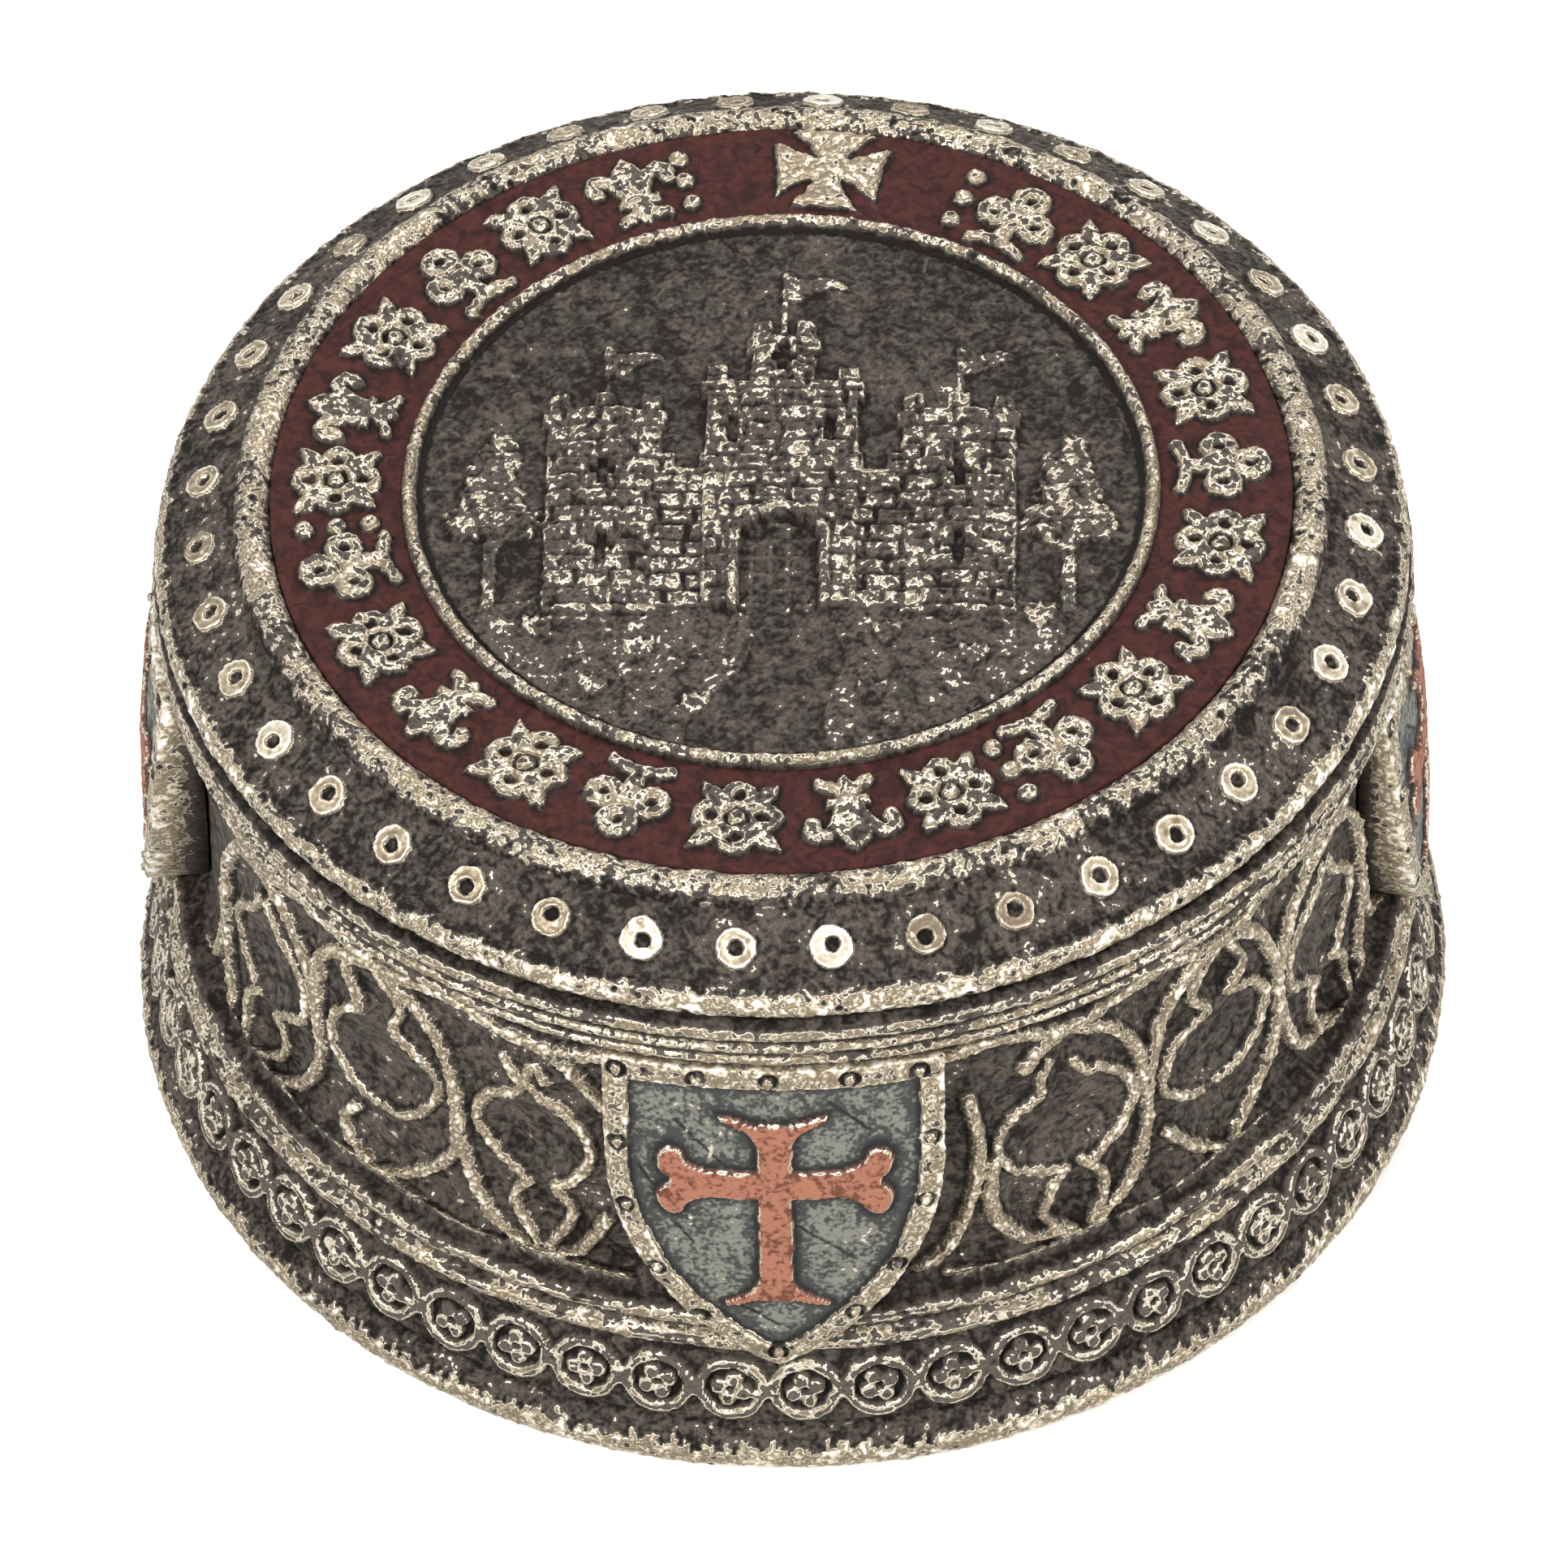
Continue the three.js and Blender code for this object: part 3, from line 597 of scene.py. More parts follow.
# Frieze: four panels of tracery that end behind the shields. The lines are [degrees from the front, height].
# Arcs are the arches between the crossings, foils the cusped figures inside them.
tracery = {
    "arcHalf": 0.6,
    "arcRelief": 1.2,
    "foilHalf": 0.52,
    "foilRelief": 0.95,
    "hollow": 0.45,
    "steps": 400,
    "spacing": 0.17,
    "right": {
        "arcs": [
            [(27.5, 37.5), (32, 35.6), (35, 32.4), (36.2, 29), (36.6, 24), (35.6, 19), (32, 15), (29.4, 13.5)],
            [(27.5, 37.5), (25.5, 36.6), (23.4, 34.8)],
            [(20.4, 25.6), (20.4, 20), (24, 16), (29.4, 13.5)],
            [(45, 37.8), (41, 36.5), (38.5, 34), (37.2, 30.5), (36.6, 26)],
            [(39.3, 20.4), (42, 17.5), (44.5, 15), (46.7, 12.9)],
            [(45, 37.8), (50, 35.5), (53, 31), (54.1, 27), (54, 22), (52, 19), (49, 15.6), (46.7, 12.9)],
            [(54.4, 25), (57, 19), (61, 15.5), (69.4, 11.7)],
            [(54.2, 29), (56, 33.5), (59.6, 36.2), (63.3, 37.3)],
            [(63.3, 37.3), (66.5, 36), (70, 32), (72, 27), (73, 20), (72.5, 15), (69.4, 11.7)],
            [(13, 15.5), (16.2, 18), (18.4, 23), (19, 28), (18, 33)],
            [(72.6, 24), (76, 18), (80, 14.5)],
            [(63.3, 37.3), (72, 39), (80, 37.5)],
            [(14, 38), (21, 38.8), (27.5, 37.5), (36.4, 39.1), (45, 37.8), (54, 39.1), (63.3, 37.3)],
            [(16, 14), (22, 12.7), (29.4, 13.5), (38, 12.4), (46.7, 12.9), (58, 11.6), (69.4, 11.7), (80, 11.4)],
        ],
        "foils": [
            [(26, 34.4), (25.2, 32.6), (25, 31), (22.5, 30), (21, 28), (21, 26), (22.5, 24), (25, 22.8), (27.8, 22)],
            [(28.5, 33.4), (30, 31.7), (31, 31.8), (33.5, 30), (35, 28), (35, 26), (33, 23.6), (30.8, 22), (29.6, 22.2)],
            [(27.6, 22.2), (25.7, 19), (26, 17), (28.6, 14.4)],
            [(29.5, 22.4), (32, 19.5), (32, 17), (30.4, 14.4)],
            [(45, 36.8), (42, 34.5), (42, 33), (44, 30.9), (43, 30.5), (40, 29.5), (38.6, 27), (38.8, 25), (40.5, 23.5),
             (43.5, 22.3)],
            [(46.6, 36.2), (48.7, 33.5), (48, 32), (46.6, 31.3), (47.5, 31), (50, 30), (52, 28), (52, 26), (51, 24),
             (48, 22.6), (45.5, 22.3)],
            [(60, 38), (58.5, 36.8), (58, 35)],
            [(62, 33.5), (60.4, 31.6), (57.5, 30), (56.2, 27.5), (57, 24.5), (59.5, 23), (62, 21.5)],
            [(63.4, 33.2), (65, 31), (68, 29), (69.5, 27), (68, 24), (66.4, 22), (65.4, 21.6)],
            [(61.4, 22), (60.8, 19), (63, 15.8), (67, 12.4)],
            [(65.5, 21.5), (68.5, 19), (69.5, 15.4), (68.7, 12.4)],
        ],
        "hollows": [(28, 26.4), (45.6, 26.4), (62.8, 26.4), (29, 18), (45.2, 33.8), (65, 17)],
    },
    "left": {
        "arcs": [
            [(-23, 37.6), (-20, 36.6), (-16, 33)],
            [(-31.1, 27), (-30.4, 22), (-28.4, 17.5), (-25.6, 14.8), (-22.6, 13.6)],
            [(-22.6, 13.6), (-19, 16), (-16, 20.5)],
            [(-38.9, 38), (-34.5, 35.6), (-32, 32), (-31.2, 27), (-31.8, 22), (-34.5, 19), (-37.8, 16.4), (-40.6, 13.9)],
            [(-40.3, 38), (-45.6, 36), (-47.8, 33.4), (-48.7, 28.5)],
            [(-44.2, 20.2), (-45.9, 17.5), (-44.5, 15.4), (-42.6, 14.6)],
            [(-57.8, 37.4), (-53, 35.6), (-50, 32), (-48.7, 27), (-49, 22), (-52, 17.5), (-56.6, 13)],
            [(-57.8, 37.4), (-61.5, 36), (-64.8, 32), (-66.5, 27), (-67.4, 20), (-66.8, 15), (-63.9, 11.8)],
            [(-56.6, 13), (-63.9, 11.8), (-74, 11.4)],
            [(-67.2, 24), (-70.5, 18), (-74.5, 14.5)],
            [(-14, 38.4), (-23, 37.6), (-31.5, 39.1), (-39.8, 38), (-49, 39.1), (-57.8, 37.4), (-66, 39), (-75, 37.5)],
            [(-14, 13.4), (-22.6, 13.6), (-31.5, 12.7), (-40.6, 13.9), (-49, 12.3), (-56.6, 13)],
        ],
        "foils": [
            [(-21.6, 33.6), (-23, 34.8), (-24.6, 31.6), (-27.8, 30), (-29.2, 27), (-27.2, 24.5), (-24.4, 22.6)],
            [(-25.8, 35), (-24.4, 33.2), (-22.4, 32.2)],
            [(-23.9, 22.2), (-25.6, 19.5), (-23.2, 15.2)],
            [(-21.1, 22.2), (-19.5, 20), (-22.2, 15.2)],
            [(-22, 31.8), (-18.6, 30), (-17.4, 27), (-19, 24), (-21.2, 22.4)],
            [(-41.1, 37.4), (-42.9, 36.6), (-44.2, 35), (-42.6, 31.7), (-43.9, 31), (-46.1, 29), (-47, 27), (-46.7, 25),
             (-44.5, 23), (-41.2, 22.2)],
            [(-39.8, 36.8), (-37.3, 34.5), (-38.4, 31.8), (-36.7, 31), (-33.9, 29.5), (-33.3, 28), (-34.5, 25.5),
             (-37.3, 23), (-40, 22.4)],
            [(-56.5, 33.5), (-54.9, 31.6), (-52, 30), (-50.8, 27.5), (-51.6, 24.5), (-54, 23), (-56.4, 21.5)],
            [(-58, 33.2), (-59.5, 31), (-62.5, 29), (-63.8, 27), (-62.5, 24), (-60.9, 22), (-59.9, 21.6)],
            [(-56, 22), (-55.4, 19), (-57.5, 15.8), (-60.6, 12.8)],
            [(-60, 21.5), (-63, 19), (-64, 15.4), (-62.6, 12.8)],
        ],
        "hollows": [(-23.4, 26.8), (-40.3, 26.6), (-57.4, 26.4), (-22.6, 19), (-40.6, 34.4), (-59.8, 17)],
    },
}


def alongSection(height):
    # a height read on the wall becomes a length along the section, which runs on over the cove
    return float(np.interp(height, [11.4, 12.5, 13.5, 14.5, 16, 41], [13.1, 13.7, 14.4, 15.2, 16.1, 41]))


def traceryLines(controls, turn):
    path = smoothPath([(degrees + turn, height) for degrees, height in controls], 5)
    return [(math.radians(degrees) * wallRadius, alongSection(height)) for degrees, height in path]


def makeFrieze(quarter):
    f, t = form, tracery
    side, turn = (("right", 0), ("right", 90), ("left", 270), ("left", 360))[quarter]
    rise, depth = f["friezeLow"] - f["upperRollTop"], 2.2
    cove = [(wallRadius + depth - depth * math.sin(math.pi / 2 * i / 8),
             f["upperRollTop"] + rise * (1 - math.cos(math.pi / 2 * i / 8))) for i in range(9)]
    front = denser(cove + [(wallRadius, 39.9), (42.5, 40.35), (43.2, f["friezeHigh"])], t["spacing"])
    section = front + [(f["coreRadius"] + 0.2, f["friezeHigh"]), (f["coreRadius"] + 0.2, f["upperRollTop"]), front[0]]
    piece = turnedPiece(["front_right", "right_back", "back_left", "left_front"][quarter] + "_frieze_panel",
                        section, t["steps"], 90, 90 * quarter - 90)
    points = getPoints(piece)
    radius, degrees = aroundAxis(points)
    degrees = (degrees - 90 * quarter + 180) % 360 - 180 + 90 * quarter
    onFace = radius > wallRadius - 0.1
    height = points[:, 2]
    below = np.clip(1 - (height - f["upperRollTop"]) / rise, 0, 1)
    lean = np.arccos(below)  # 0 at the foot of the cove and a quarter turn at the wall
    x = np.radians(degrees) * wallRadius
    z = np.where(height < f["friezeLow"], f["friezeLow"] - (math.pi / 2 - lean) * (rise + depth) / 2, height)
    # the ribs wander and swell a little, as carved ones do
    wander = 0.1 * ripple(x, z, 3.1) + 0.05 * ripple(x, z, 0.9, 2.0)
    lift = np.zeros(len(x))
    for kind, half, relief in (("arcs", t["arcHalf"], t["arcRelief"]), ("foils", t["foilHalf"], t["foilRelief"])):
        for controls in t[side][kind]:
            path = traceryLines(controls, turn)
            left, right = min(p[0] for p in path) - 2, max(p[0] for p in path) + 2
            near = np.nonzero((x > left) & (x < right) & onFace)[0]
            distance = pathDistance(x[near], z[near], path) + wander[near]
            lift[near] = np.maximum(lift[near], ridge(distance, half, relief))
            lift[near] = np.maximum(lift[near], 0.3 * smoothStep(3.2 * half, half, distance))
    sunk = np.zeros(len(x))
    for bayDegrees, bayHeight in t[side]["hollows"]:
        away = np.hypot((x - math.radians(bayDegrees + turn) * wallRadius) / 1.15, z - bayHeight)
        sunk = np.maximum(sunk, smoothStep(3.6, 1.2, away))
    ribs = smoothStep(0.4, 0.85, lift)
    fade = smoothStep(f["upperRollTop"], f["upperRollTop"] + 0.5, height)
    fade *= smoothStep(f["friezeHigh"], f["friezeHigh"] - 0.7, height) * onFace
    lift = (lift - t["hollow"] * sunk * (1 - ribs)) * fade
    pushOut(points, lift * np.sin(lean), lift * np.cos(lean))
    setPoints(piece, points)
    ends = smoothStep(0, 1.5, x - x.min()) * smoothStep(0, 1.5, x.max() - x)
    castSkin(piece, 2.2, 0.24, onFace * ends * fade)
    castSkin(piece, 0.75, 0.34, onFace * ends * fade * ribs, "HARD_NOISE")
    # the gold lies in clumps on the ribs and as a thin line along their edges
    clumps = 0.12 * ripple(x, z, 2.6, 6.0) + 0.1 * ripple(x, z, 1.0, 3.0)
    relief = ribs * (0.54 + clumps) + 0.16
    dryBrush(piece, np.where(onFace, relief * fade, 0), 0.95, fade * ends, 0.85)
    finishPiece(piece, "box_body", "base", bodyBronze)


for quarter in range(4):
    makeFrieze(quarter)


# Rim: two fine beads and a roll under the seam

rim = {"ground": 43.4, "beads": ((40.5, 0.9, 0.6), (41.75, 0.9, 0.7), (43.0, 1.6, 0.9)), "steps": 900}


def makeRim():
    f = form
    front = []
    for low, height, proud in rim["beads"]:
        front += bead(rim["ground"], proud, low, height, 9 if height < 1 else 13)
    front = denser(front, 0.24)
    section = front + [(f["coreRadius"], bodyTop), (f["coreRadius"], f["friezeHigh"]), front[0]]
    piece = turnedPiece("rim_beads", section, rim["steps"])
    points = getPoints(piece)
    radius, degrees = aroundAxis(points)
    x, z = np.radians(degrees) * 44, points[:, 2]
    out = smoothStep(rim["ground"], rim["ground"] + 0.5, radius)
    streak = ripple(x / 8, z, 0.8, 2.0) + 0.5 * ripple(x / 2.5, z, 0.5, 5.0)
    castSkin(piece, 1.4, 0.2, out)
    castSkin(piece, 0.6, 0.2, out, "HARD_NOISE")
    paintedSeamShade = smoothStep(bodyTop - 0.35, bodyTop - 0.15, z)  # painted shade in the seam under the lid's edge
    dryBrush(piece, out * (0.42 + 0.24 * streak) * (1 - paintedSeamShade) + 0.06, 1.0, out * (1 - paintedSeamShade), 0.8)
    finishPiece(piece, "box_body", "base", bodyBronze)


makeRim()


# Cup inside the casting, with its mouth, floor and the recess for the felt

def makeCup():
    f = form
    outer = f["coreRadius"]
    section = [(0, f["underside"]), (outer + 0.7, f["underside"]), (outer + 0.7, f["castingBottom"] + 0.1),
               (outer + 1.0, f["castingBottom"] + 0.1), (outer + 1.0, 2.0), (outer, 2.4), (outer, bodyTop),
               (38.3, bodyTop), (37.9, bodyTop - 0.12), (37.6, bodyTop - 0.4), (f["cavityRadius"], bodyTop - 0.8),
               (f["cavityRadius"], f["floor"] + 1.0), (37.2, f["floor"] + 0.3), (36.5, f["floor"]), (0, f["floor"])]
    piece = turnedPiece("cup", denser(section, 1.6), 256)
    castSkin(piece, 5.0, 0.12)
    dryBrush(piece, np.full(len(piece.data.vertices), 0.12), 0.5)
    finishPiece(piece, "box_body", "base", bodyBronze)


makeCup()


# Felt pad

def makeFelt():
    low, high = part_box("felt_pad")
    bpy.ops.object.select_all(action="DESELECT")
    bpy.ops.mesh.primitive_cylinder_add(vertices=160, radius=high.x, depth=high.z - low.z,
                                        location=(0, 0, (low.z + high.z) / 2))
    piece = bpy.context.object
    piece.name = piece.data.name = "felt_disc"
    bpy.ops.object.transform_apply(location=True, rotation=True, scale=True)
    bevel = piece.modifiers.new("edge", "BEVEL")
    bevel.width = 0.35 * mm
    bevel.segments = 3
    bpy.ops.object.modifier_apply(modifier="edge")
    finishPiece(piece, "felt_pad", "base", feltBlack)


makeFelt()


# Lid: edge roll, studded shoulder, ring, painted field, medallion and underside

lidForm = {
    "edge": 42.8,
    "edgeProud": 1.1,
    "edgeTop": 47.3,
    "shoulderHigh": 50.1,
    "shoulderRadius": 38.2,
    "ringCrest": 51.5,
    "fieldRadius": 35.6,
    "field": 50.85,
    "medallionRadius": 26.45,
    "innerRing": 25.9,
    "core": 34.5,
}
studs = {"count": 40, "phase": -3.3, "radius": 1.42, "hole": 0.5, "height": 0.5, "steps": 1700}


def makeLidEdge():
    d = lidForm
    front = denser(bead(d["edge"], d["edgeProud"], lidBottom, d["edgeTop"] - lidBottom, 18), 0.22)
    section = front + [(d["core"], d["edgeTop"]), (d["core"], lidBottom), front[0]]
    piece = turnedPiece("lid_edge", section, 1000)
    points = getPoints(piece)
    radius, degrees = aroundAxis(points)
    x, z = np.radians(degrees) * 44, points[:, 2]
    out = smoothStep(d["edge"] - 0.3, d["edge"] + 0.5, radius)
    castSkin(piece, 1.6, 0.26, out)
    castSkin(piece, 0.7, 0.24, out, "HARD_NOISE")
    streak = ripple(x / 5, z, 0.9, 1.0)
    crown = smoothStep(d["edge"] + 0.2, d["edge"] + 0.85, radius)
    over = smoothStep(lidBottom + 0.1, lidBottom + 0.5, z) * smoothStep(d["edgeTop"], d["edgeTop"] - 0.2, z)
    dryBrush(piece, (0.6 * crown + 0.22 * streak * out) * over + 0.06, 1.3, over * out, 1.5)
    finishPiece(piece, "lid", "lid", bodyBronze)


def makeShoulder():
    d = lidForm
    low, high = (d["edge"], d["edgeTop"]), (d["shoulderRadius"], d["shoulderHigh"])
    front = denser([low, high], 0.13)
    section = front + [(d["core"], high[1]), (d["core"], low[1]), low]
    piece = turnedPiece("lid_shoulder", section, studs["steps"])
    points = getPoints(piece)
    radius, degrees = aroundAxis(points)
    pitch = 360 / studs["count"]
    nearest = np.round((degrees - studs["phase"]) / pitch)
    chance = np.sin(nearest * 7.13 + 2.2) * 31.7
    chance -= np.floor(chance)
    middle = (low[0] + high[0]) / 2
    slopeLength = math.hypot(high[0] - low[0], high[1] - low[1])
    along = (middle - radius) * slopeLength / (low[0] - high[0])
    x = np.radians(degrees - studs["phase"] - nearest * pitch) * middle
    around = np.radians(degrees) * middle
    # the washers are cast unevenly: their outlines wobble and their holes lie off the middle
    distance = np.hypot(x, along) + 0.09 * ripple(around, along, 1.9)
    holeAway = np.hypot(x - 0.22 * (chance - 0.5), along - 0.2 * np.sin(nearest * 2.3))
    size = studs["radius"] * (0.92 + 0.14 * chance)
    shape = np.minimum(size - distance, holeAway - studs["hole"] - 0.06 * ripple(around, along, 0.9, 3.0))
    onFace = np.abs(points[:, 2] - (low[1] + (low[0] - radius) * (high[1] - low[1]) / (low[0] - high[0]))) < 0.02
    raised = np.where(onFace, smoothStep(-0.07, 0.12, shape), 0)
    dish = smoothStep(0.05, 0.3, shape)
    lift = raised * studs["height"] - 0.12 * dish * onFace
    normalOut = (high[1] - low[1]) / slopeLength
    normalUp = (low[0] - high[0]) / slopeLength
    edge = smoothStep(0, 0.5, np.minimum(radius - high[0], low[0] - radius) + 0.1)
    pushOut(points, lift * normalOut, lift * normalUp)
    setPoints(piece, points)
    castSkin(piece, 1.6, 0.2, onFace * edge)
    castSkin(piece, 0.8, 0.2, onFace * edge * (1 - raised), "HARD_NOISE")
    outline = smoothStep(-0.04, 0.05, shape) * smoothStep(0.3, 0.12, shape)
    tone = 0.76 + 0.4 * (chance - 0.5)
    arcs = 0.12 * smoothStep(1.0, 1.5, distance) * smoothStep(2.8, 2.0, distance)
    relief = 0.09 + arcs + raised * (tone + 0.1 * outline)
    dryBrush(piece, np.where(onFace, relief, 0.1), 0.75, onFace * edge, 0.9 - 0.55 * raised)
    finishPiece(piece, "lid", "lid", bodyBronze)


def makeLidRing():
    d = lidForm
    low = d["shoulderHigh"]
    front = denser(crest(d["fieldRadius"] - 0.05, d["shoulderRadius"], low, d["ringCrest"] - low, 18), 0.22)
    section = front + [(d["fieldRadius"] - 0.05, low - 1.5), (d["shoulderRadius"], low - 1.5), front[0]]
    piece = turnedPiece("lid_ring", section, 900)
    points = getPoints(piece)
    radius, degrees = aroundAxis(points)
    x = np.radians(degrees) * 37
    up = smoothStep(low + 0.3, low + 1.0, points[:, 2])
    castSkin(piece, 1.5, 0.26, up)
    castSkin(piece, 0.7, 0.26, up, "HARD_NOISE")
    broad = 0.12 * ripple(x, radius, 9.0, 4.0)
    dryBrush(piece, (0.42 + 1.4 * broad) * smoothStep(low + 0.4, low + 1.2, points[:, 2]) + 0.06, 1.3, up, 1.5)
    finishPiece(piece, "lid", "lid", bodyBronze)


makeLidEdge()
makeShoulder()
makeLidRing()


def leaf(x, y, fromX, fromY, degrees, length, width):
    # how far a point is inside a pointed leaf that starts at (fromX, fromY)
    turn = math.radians(degrees)
    along = (x - fromX) * math.sin(turn) + (y - fromY) * math.cos(turn)
    across = (x - fromX) * math.cos(turn) - (y - fromY) * math.sin(turn)
    t = 2 * along / length - 1
    return np.where(np.abs(t) < 1, width / 2 * (1 - t * t) - np.abs(across), -1.0)


def slab(x, y, left, right, low, high):
    return np.minimum(np.minimum(x - left, right - x), np.minimum(y - low, high - y))


def stroke(x, y, path, half):
    return half - pathDistance(x, y, smoothPath(path, 5))


# Ornaments of the painted field: a cross with splayed arms at the top, then leaves, lilies and rosettes
field = {
    "cross": (5.4, 7.6),
    "beads": ((-13.8, 3), (24.0, 3), (149.0, 3), (262.4, 3)),
    "runs": ((24.0, 149.0, 9), (149.0, 262.4, 8), (262.4, 346.2, 6)),
    "middle": 31.0,
    "relief": 0.62,
    "steps": 1250,
}


def trefoil(a, b):
    # three round leaves on a stout stem with a spreading foot
    a = np.abs(a)
    shape = 1.42 - np.hypot(a, b - 1.85)
    shape = np.maximum(shape, 1.42 - np.hypot(a - 1.7, b + 0.25))
    shape = np.maximum(shape, slab(a, b, -0.7, 0.7, -3.0, 0.5))
    shape = np.maximum(shape, stroke(a, b, [(0, -2.7), (1.2, -2.9), (2.3, -3.2)], 0.5))
    veins = np.minimum(np.hypot(a, b - 1.85) - 0.34, np.hypot(a - 1.7, b + 0.25) - 0.34)
    return np.minimum(shape, veins)


def quatrefoil(a, b):
    # four round lobes about a bead, with a pointed leaf in each corner
    a, b = np.abs(a), np.abs(b)
    shape = np.full(len(a), -1.0)
    for x, y in ((1.75, 0), (0, 1.85)):
        away = np.hypot(a - x, b - y)
        shape = np.maximum(shape, np.minimum(1.38 - away, away - 0.4))
    shape = np.maximum(shape, leaf(a, b, 0.3, 0.3, 45, 3.7, 1.5))
    away = np.hypot(a, b)
    return np.maximum(np.minimum(shape, away - 0.85), 0.66 - away)


def lily(a, b):
    # a pointed middle petal between two curled ones, bound by a band over a short foot
    a = np.abs(a)
    shape = leaf(a, b, 0, -1.0, 0, 4.4, 2.5)
    shape = np.maximum(shape, stroke(a, b, [(0.5, -0.9), (1.0, 0.7), (1.9, 1.8), (2.7, 1.5), (2.6, 0.6)], 0.56))
    shape = np.maximum(shape, slab(a, b, -1.6, 1.6, -1.5, -0.7))
    shape = np.maximum(shape, leaf(a, b, 0, -1.2, 180, 2.2, 1.5))
    return np.maximum(shape, stroke(a, b, [(0.3, -1.5), (1.0, -2.5), (1.9, -2.8)], 0.46))


def splayedCross(a, b, size):
    a, b = np.abs(a), np.abs(b)
    half = size / 2
    long, short = np.maximum(a, b), np.minimum(a, b)
    flare = 0.8 + 1.9 * (long / half) ** 1.8
    return np.minimum(half - long, flare - short)


def makeField():
    d, f = lidForm, field
    front = denser([(d["fieldRadius"], d["field"]), (d["medallionRadius"] - 0.05, d["field"])], 0.155)
    section = front + [(d["medallionRadius"] - 0.05, d["field"] - 1.5), (d["fieldRadius"], d["field"] - 1.5), front[0]]
    piece = turnedPiece("lid_field", section, f["steps"])
    points = getPoints(piece)
    radius = np.hypot(points[:, 0], points[:, 1])
    bearing = np.degrees(np.arctan2(points[:, 0], points[:, 1])) % 360
    onTop = points[:, 2] > d["field"] - 0.05
    up = radius - f["middle"]
    shape = np.full(len(radius), -1.0)
    wobbleA = 0.1 * ripple(points[:, 0], points[:, 1], 1.7)
    wobbleB = 0.1 * ripple(points[:, 0], points[:, 1], 1.5, 4.0)

    def across(centre):
        return np.radians((bearing - centre + 180) % 360 - 180) * f["middle"]

    kinds = (trefoil, quatrefoil, lily, quatrefoil)
    turn = 0
    for start, end, count in f["runs"]:
        for i in range(count):
            a = across(start + (end - start) * (i + 0.5) / count + (1.2 if i == 0 else 0))
            near = np.nonzero((np.abs(a) < 4.2) & onTop)[0]
            drawn = kinds[turn % 4](a[near] + wobbleA[near], up[near] + wobbleB[near])
            shape[near] = np.maximum(shape[near], drawn)
            turn += 1
    bearingCross, size = f["cross"]
    cross = splayedCross(across(bearingCross) + wobbleA, up - 0.4 + wobbleB, size)
    shape = np.maximum(shape, cross)
    for centre, count in f["beads"]:
        for i in range(count):
            dot = 0.72 - np.hypot(across(centre), up - 2.3 * (i - (count - 1) / 2))
            shape = np.maximum(shape, dot)
    raised = np.where(onTop, smoothStep(-0.08, 0.18, shape), 0)
    points[:, 2] += raised * f["relief"]
    setPoints(piece, points)
    castSkin(piece, 1.1, 0.2, raised)
    castSkin(piece, 0.6, 0.2, raised, "HARD_NOISE")
    castSkin(piece, 1.8, 0.16, onTop * (1 - raised))
    clumps = 0.1 * ripple(points[:, 0], points[:, 1], 1.9, 2.0)
    inField = smoothStep(0, 0.3, np.minimum(radius - d["medallionRadius"], d["fieldRadius"] - radius)) * onTop
    outline = smoothStep(-0.06, 0.04, shape) * smoothStep(0.34, 0.1, shape) * onTop
    inCross = smoothStep(-0.1, 0.1, cross)
    relief = (0.37 + 1.5 * clumps) * raised + 0.2 * outline + 0.26 * inCross + 0.04
    dryBrush(piece, relief, 0.8, inField, 0.85 - 0.4 * inCross)
    # paint is 0 in a narrow line round each ornament, so the dark bronze tone there is painted shade at their feet
    writeAttribute(piece, "paint", np.where(onTop, smoothStep(-0.02, -0.34, shape), 1))
    finishPiece(piece, "lid", "lid", lidPaint)


makeField()


# Medallion: a castle gate between two trees, inside a plain ring
castle = {
    "cells": 308,
    "sunk": 0.5,
    "ground": -11.5,
    "walls": {"middle": 0, "half": 9.0, "top": 1.5, "merlons": 6, "relief": 0.9, "round": 0.0},
    "towers": {"middle": 12.4, "half": 4.0, "top": 7.0, "merlons": 3, "relief": 1.35, "round": 0.5},
    "gate": {"middle": 0, "half": 5.4, "top": 9.5, "merlons": 4, "relief": 1.5, "round": 0.15},
    "turret": {"middle": 0, "half": 2.3, "top": 14.2, "merlons": 2, "relief": 1.25, "round": 0.5},
    "merlonHeight": 1.5,
    "course": 1.55,
    "stone": 2.5,
    "archHalf": 2.7,
    "archHeight": 8.4,
    "tree": 20.0,
}


def chanceOf(a, b):
    # repeatable value from 0 to 1 for a cell
    value = np.sin(a * 12.9898 + b * 78.233) * 437.585
    return value - np.floor(value)


def raiseWall(x, y, lift, wall, low):
    # a wall with merlons, a stepped band under them and a swell across it where it is round
    half, top, relief = wall["half"], wall["top"], wall["relief"]
    local = x - wall["middle"]
    step = 2 * half / (2 * wall["merlons"] - 1)
    share = np.clip(np.abs(local) / half, 0, 1)
    swell = 1 - wall["round"] * (1 - np.sqrt(1 - 0.92 * share ** 2))
    body = slab(local, y, -half, half, low, top)
    inStep = np.abs(np.mod(local + half, 2 * step) - step / 2)
    merlon = np.minimum(slab(local, y, -half, half, top - 0.6, top + castle["merlonHeight"]), step / 2 - inStep)
    band = slab(local, y, -half - 0.35, half + 0.35, top - 1.5, top - 0.1)
    shape = np.maximum(body, merlon)
    rise = relief * swell
    np.maximum(lift, rise * smoothStep(-0.12, 0.1, shape), out=lift)
    np.maximum(lift, (rise + 0.25) * smoothStep(-0.12, 0.1, band), out=lift)
    return np.maximum(shape, band)


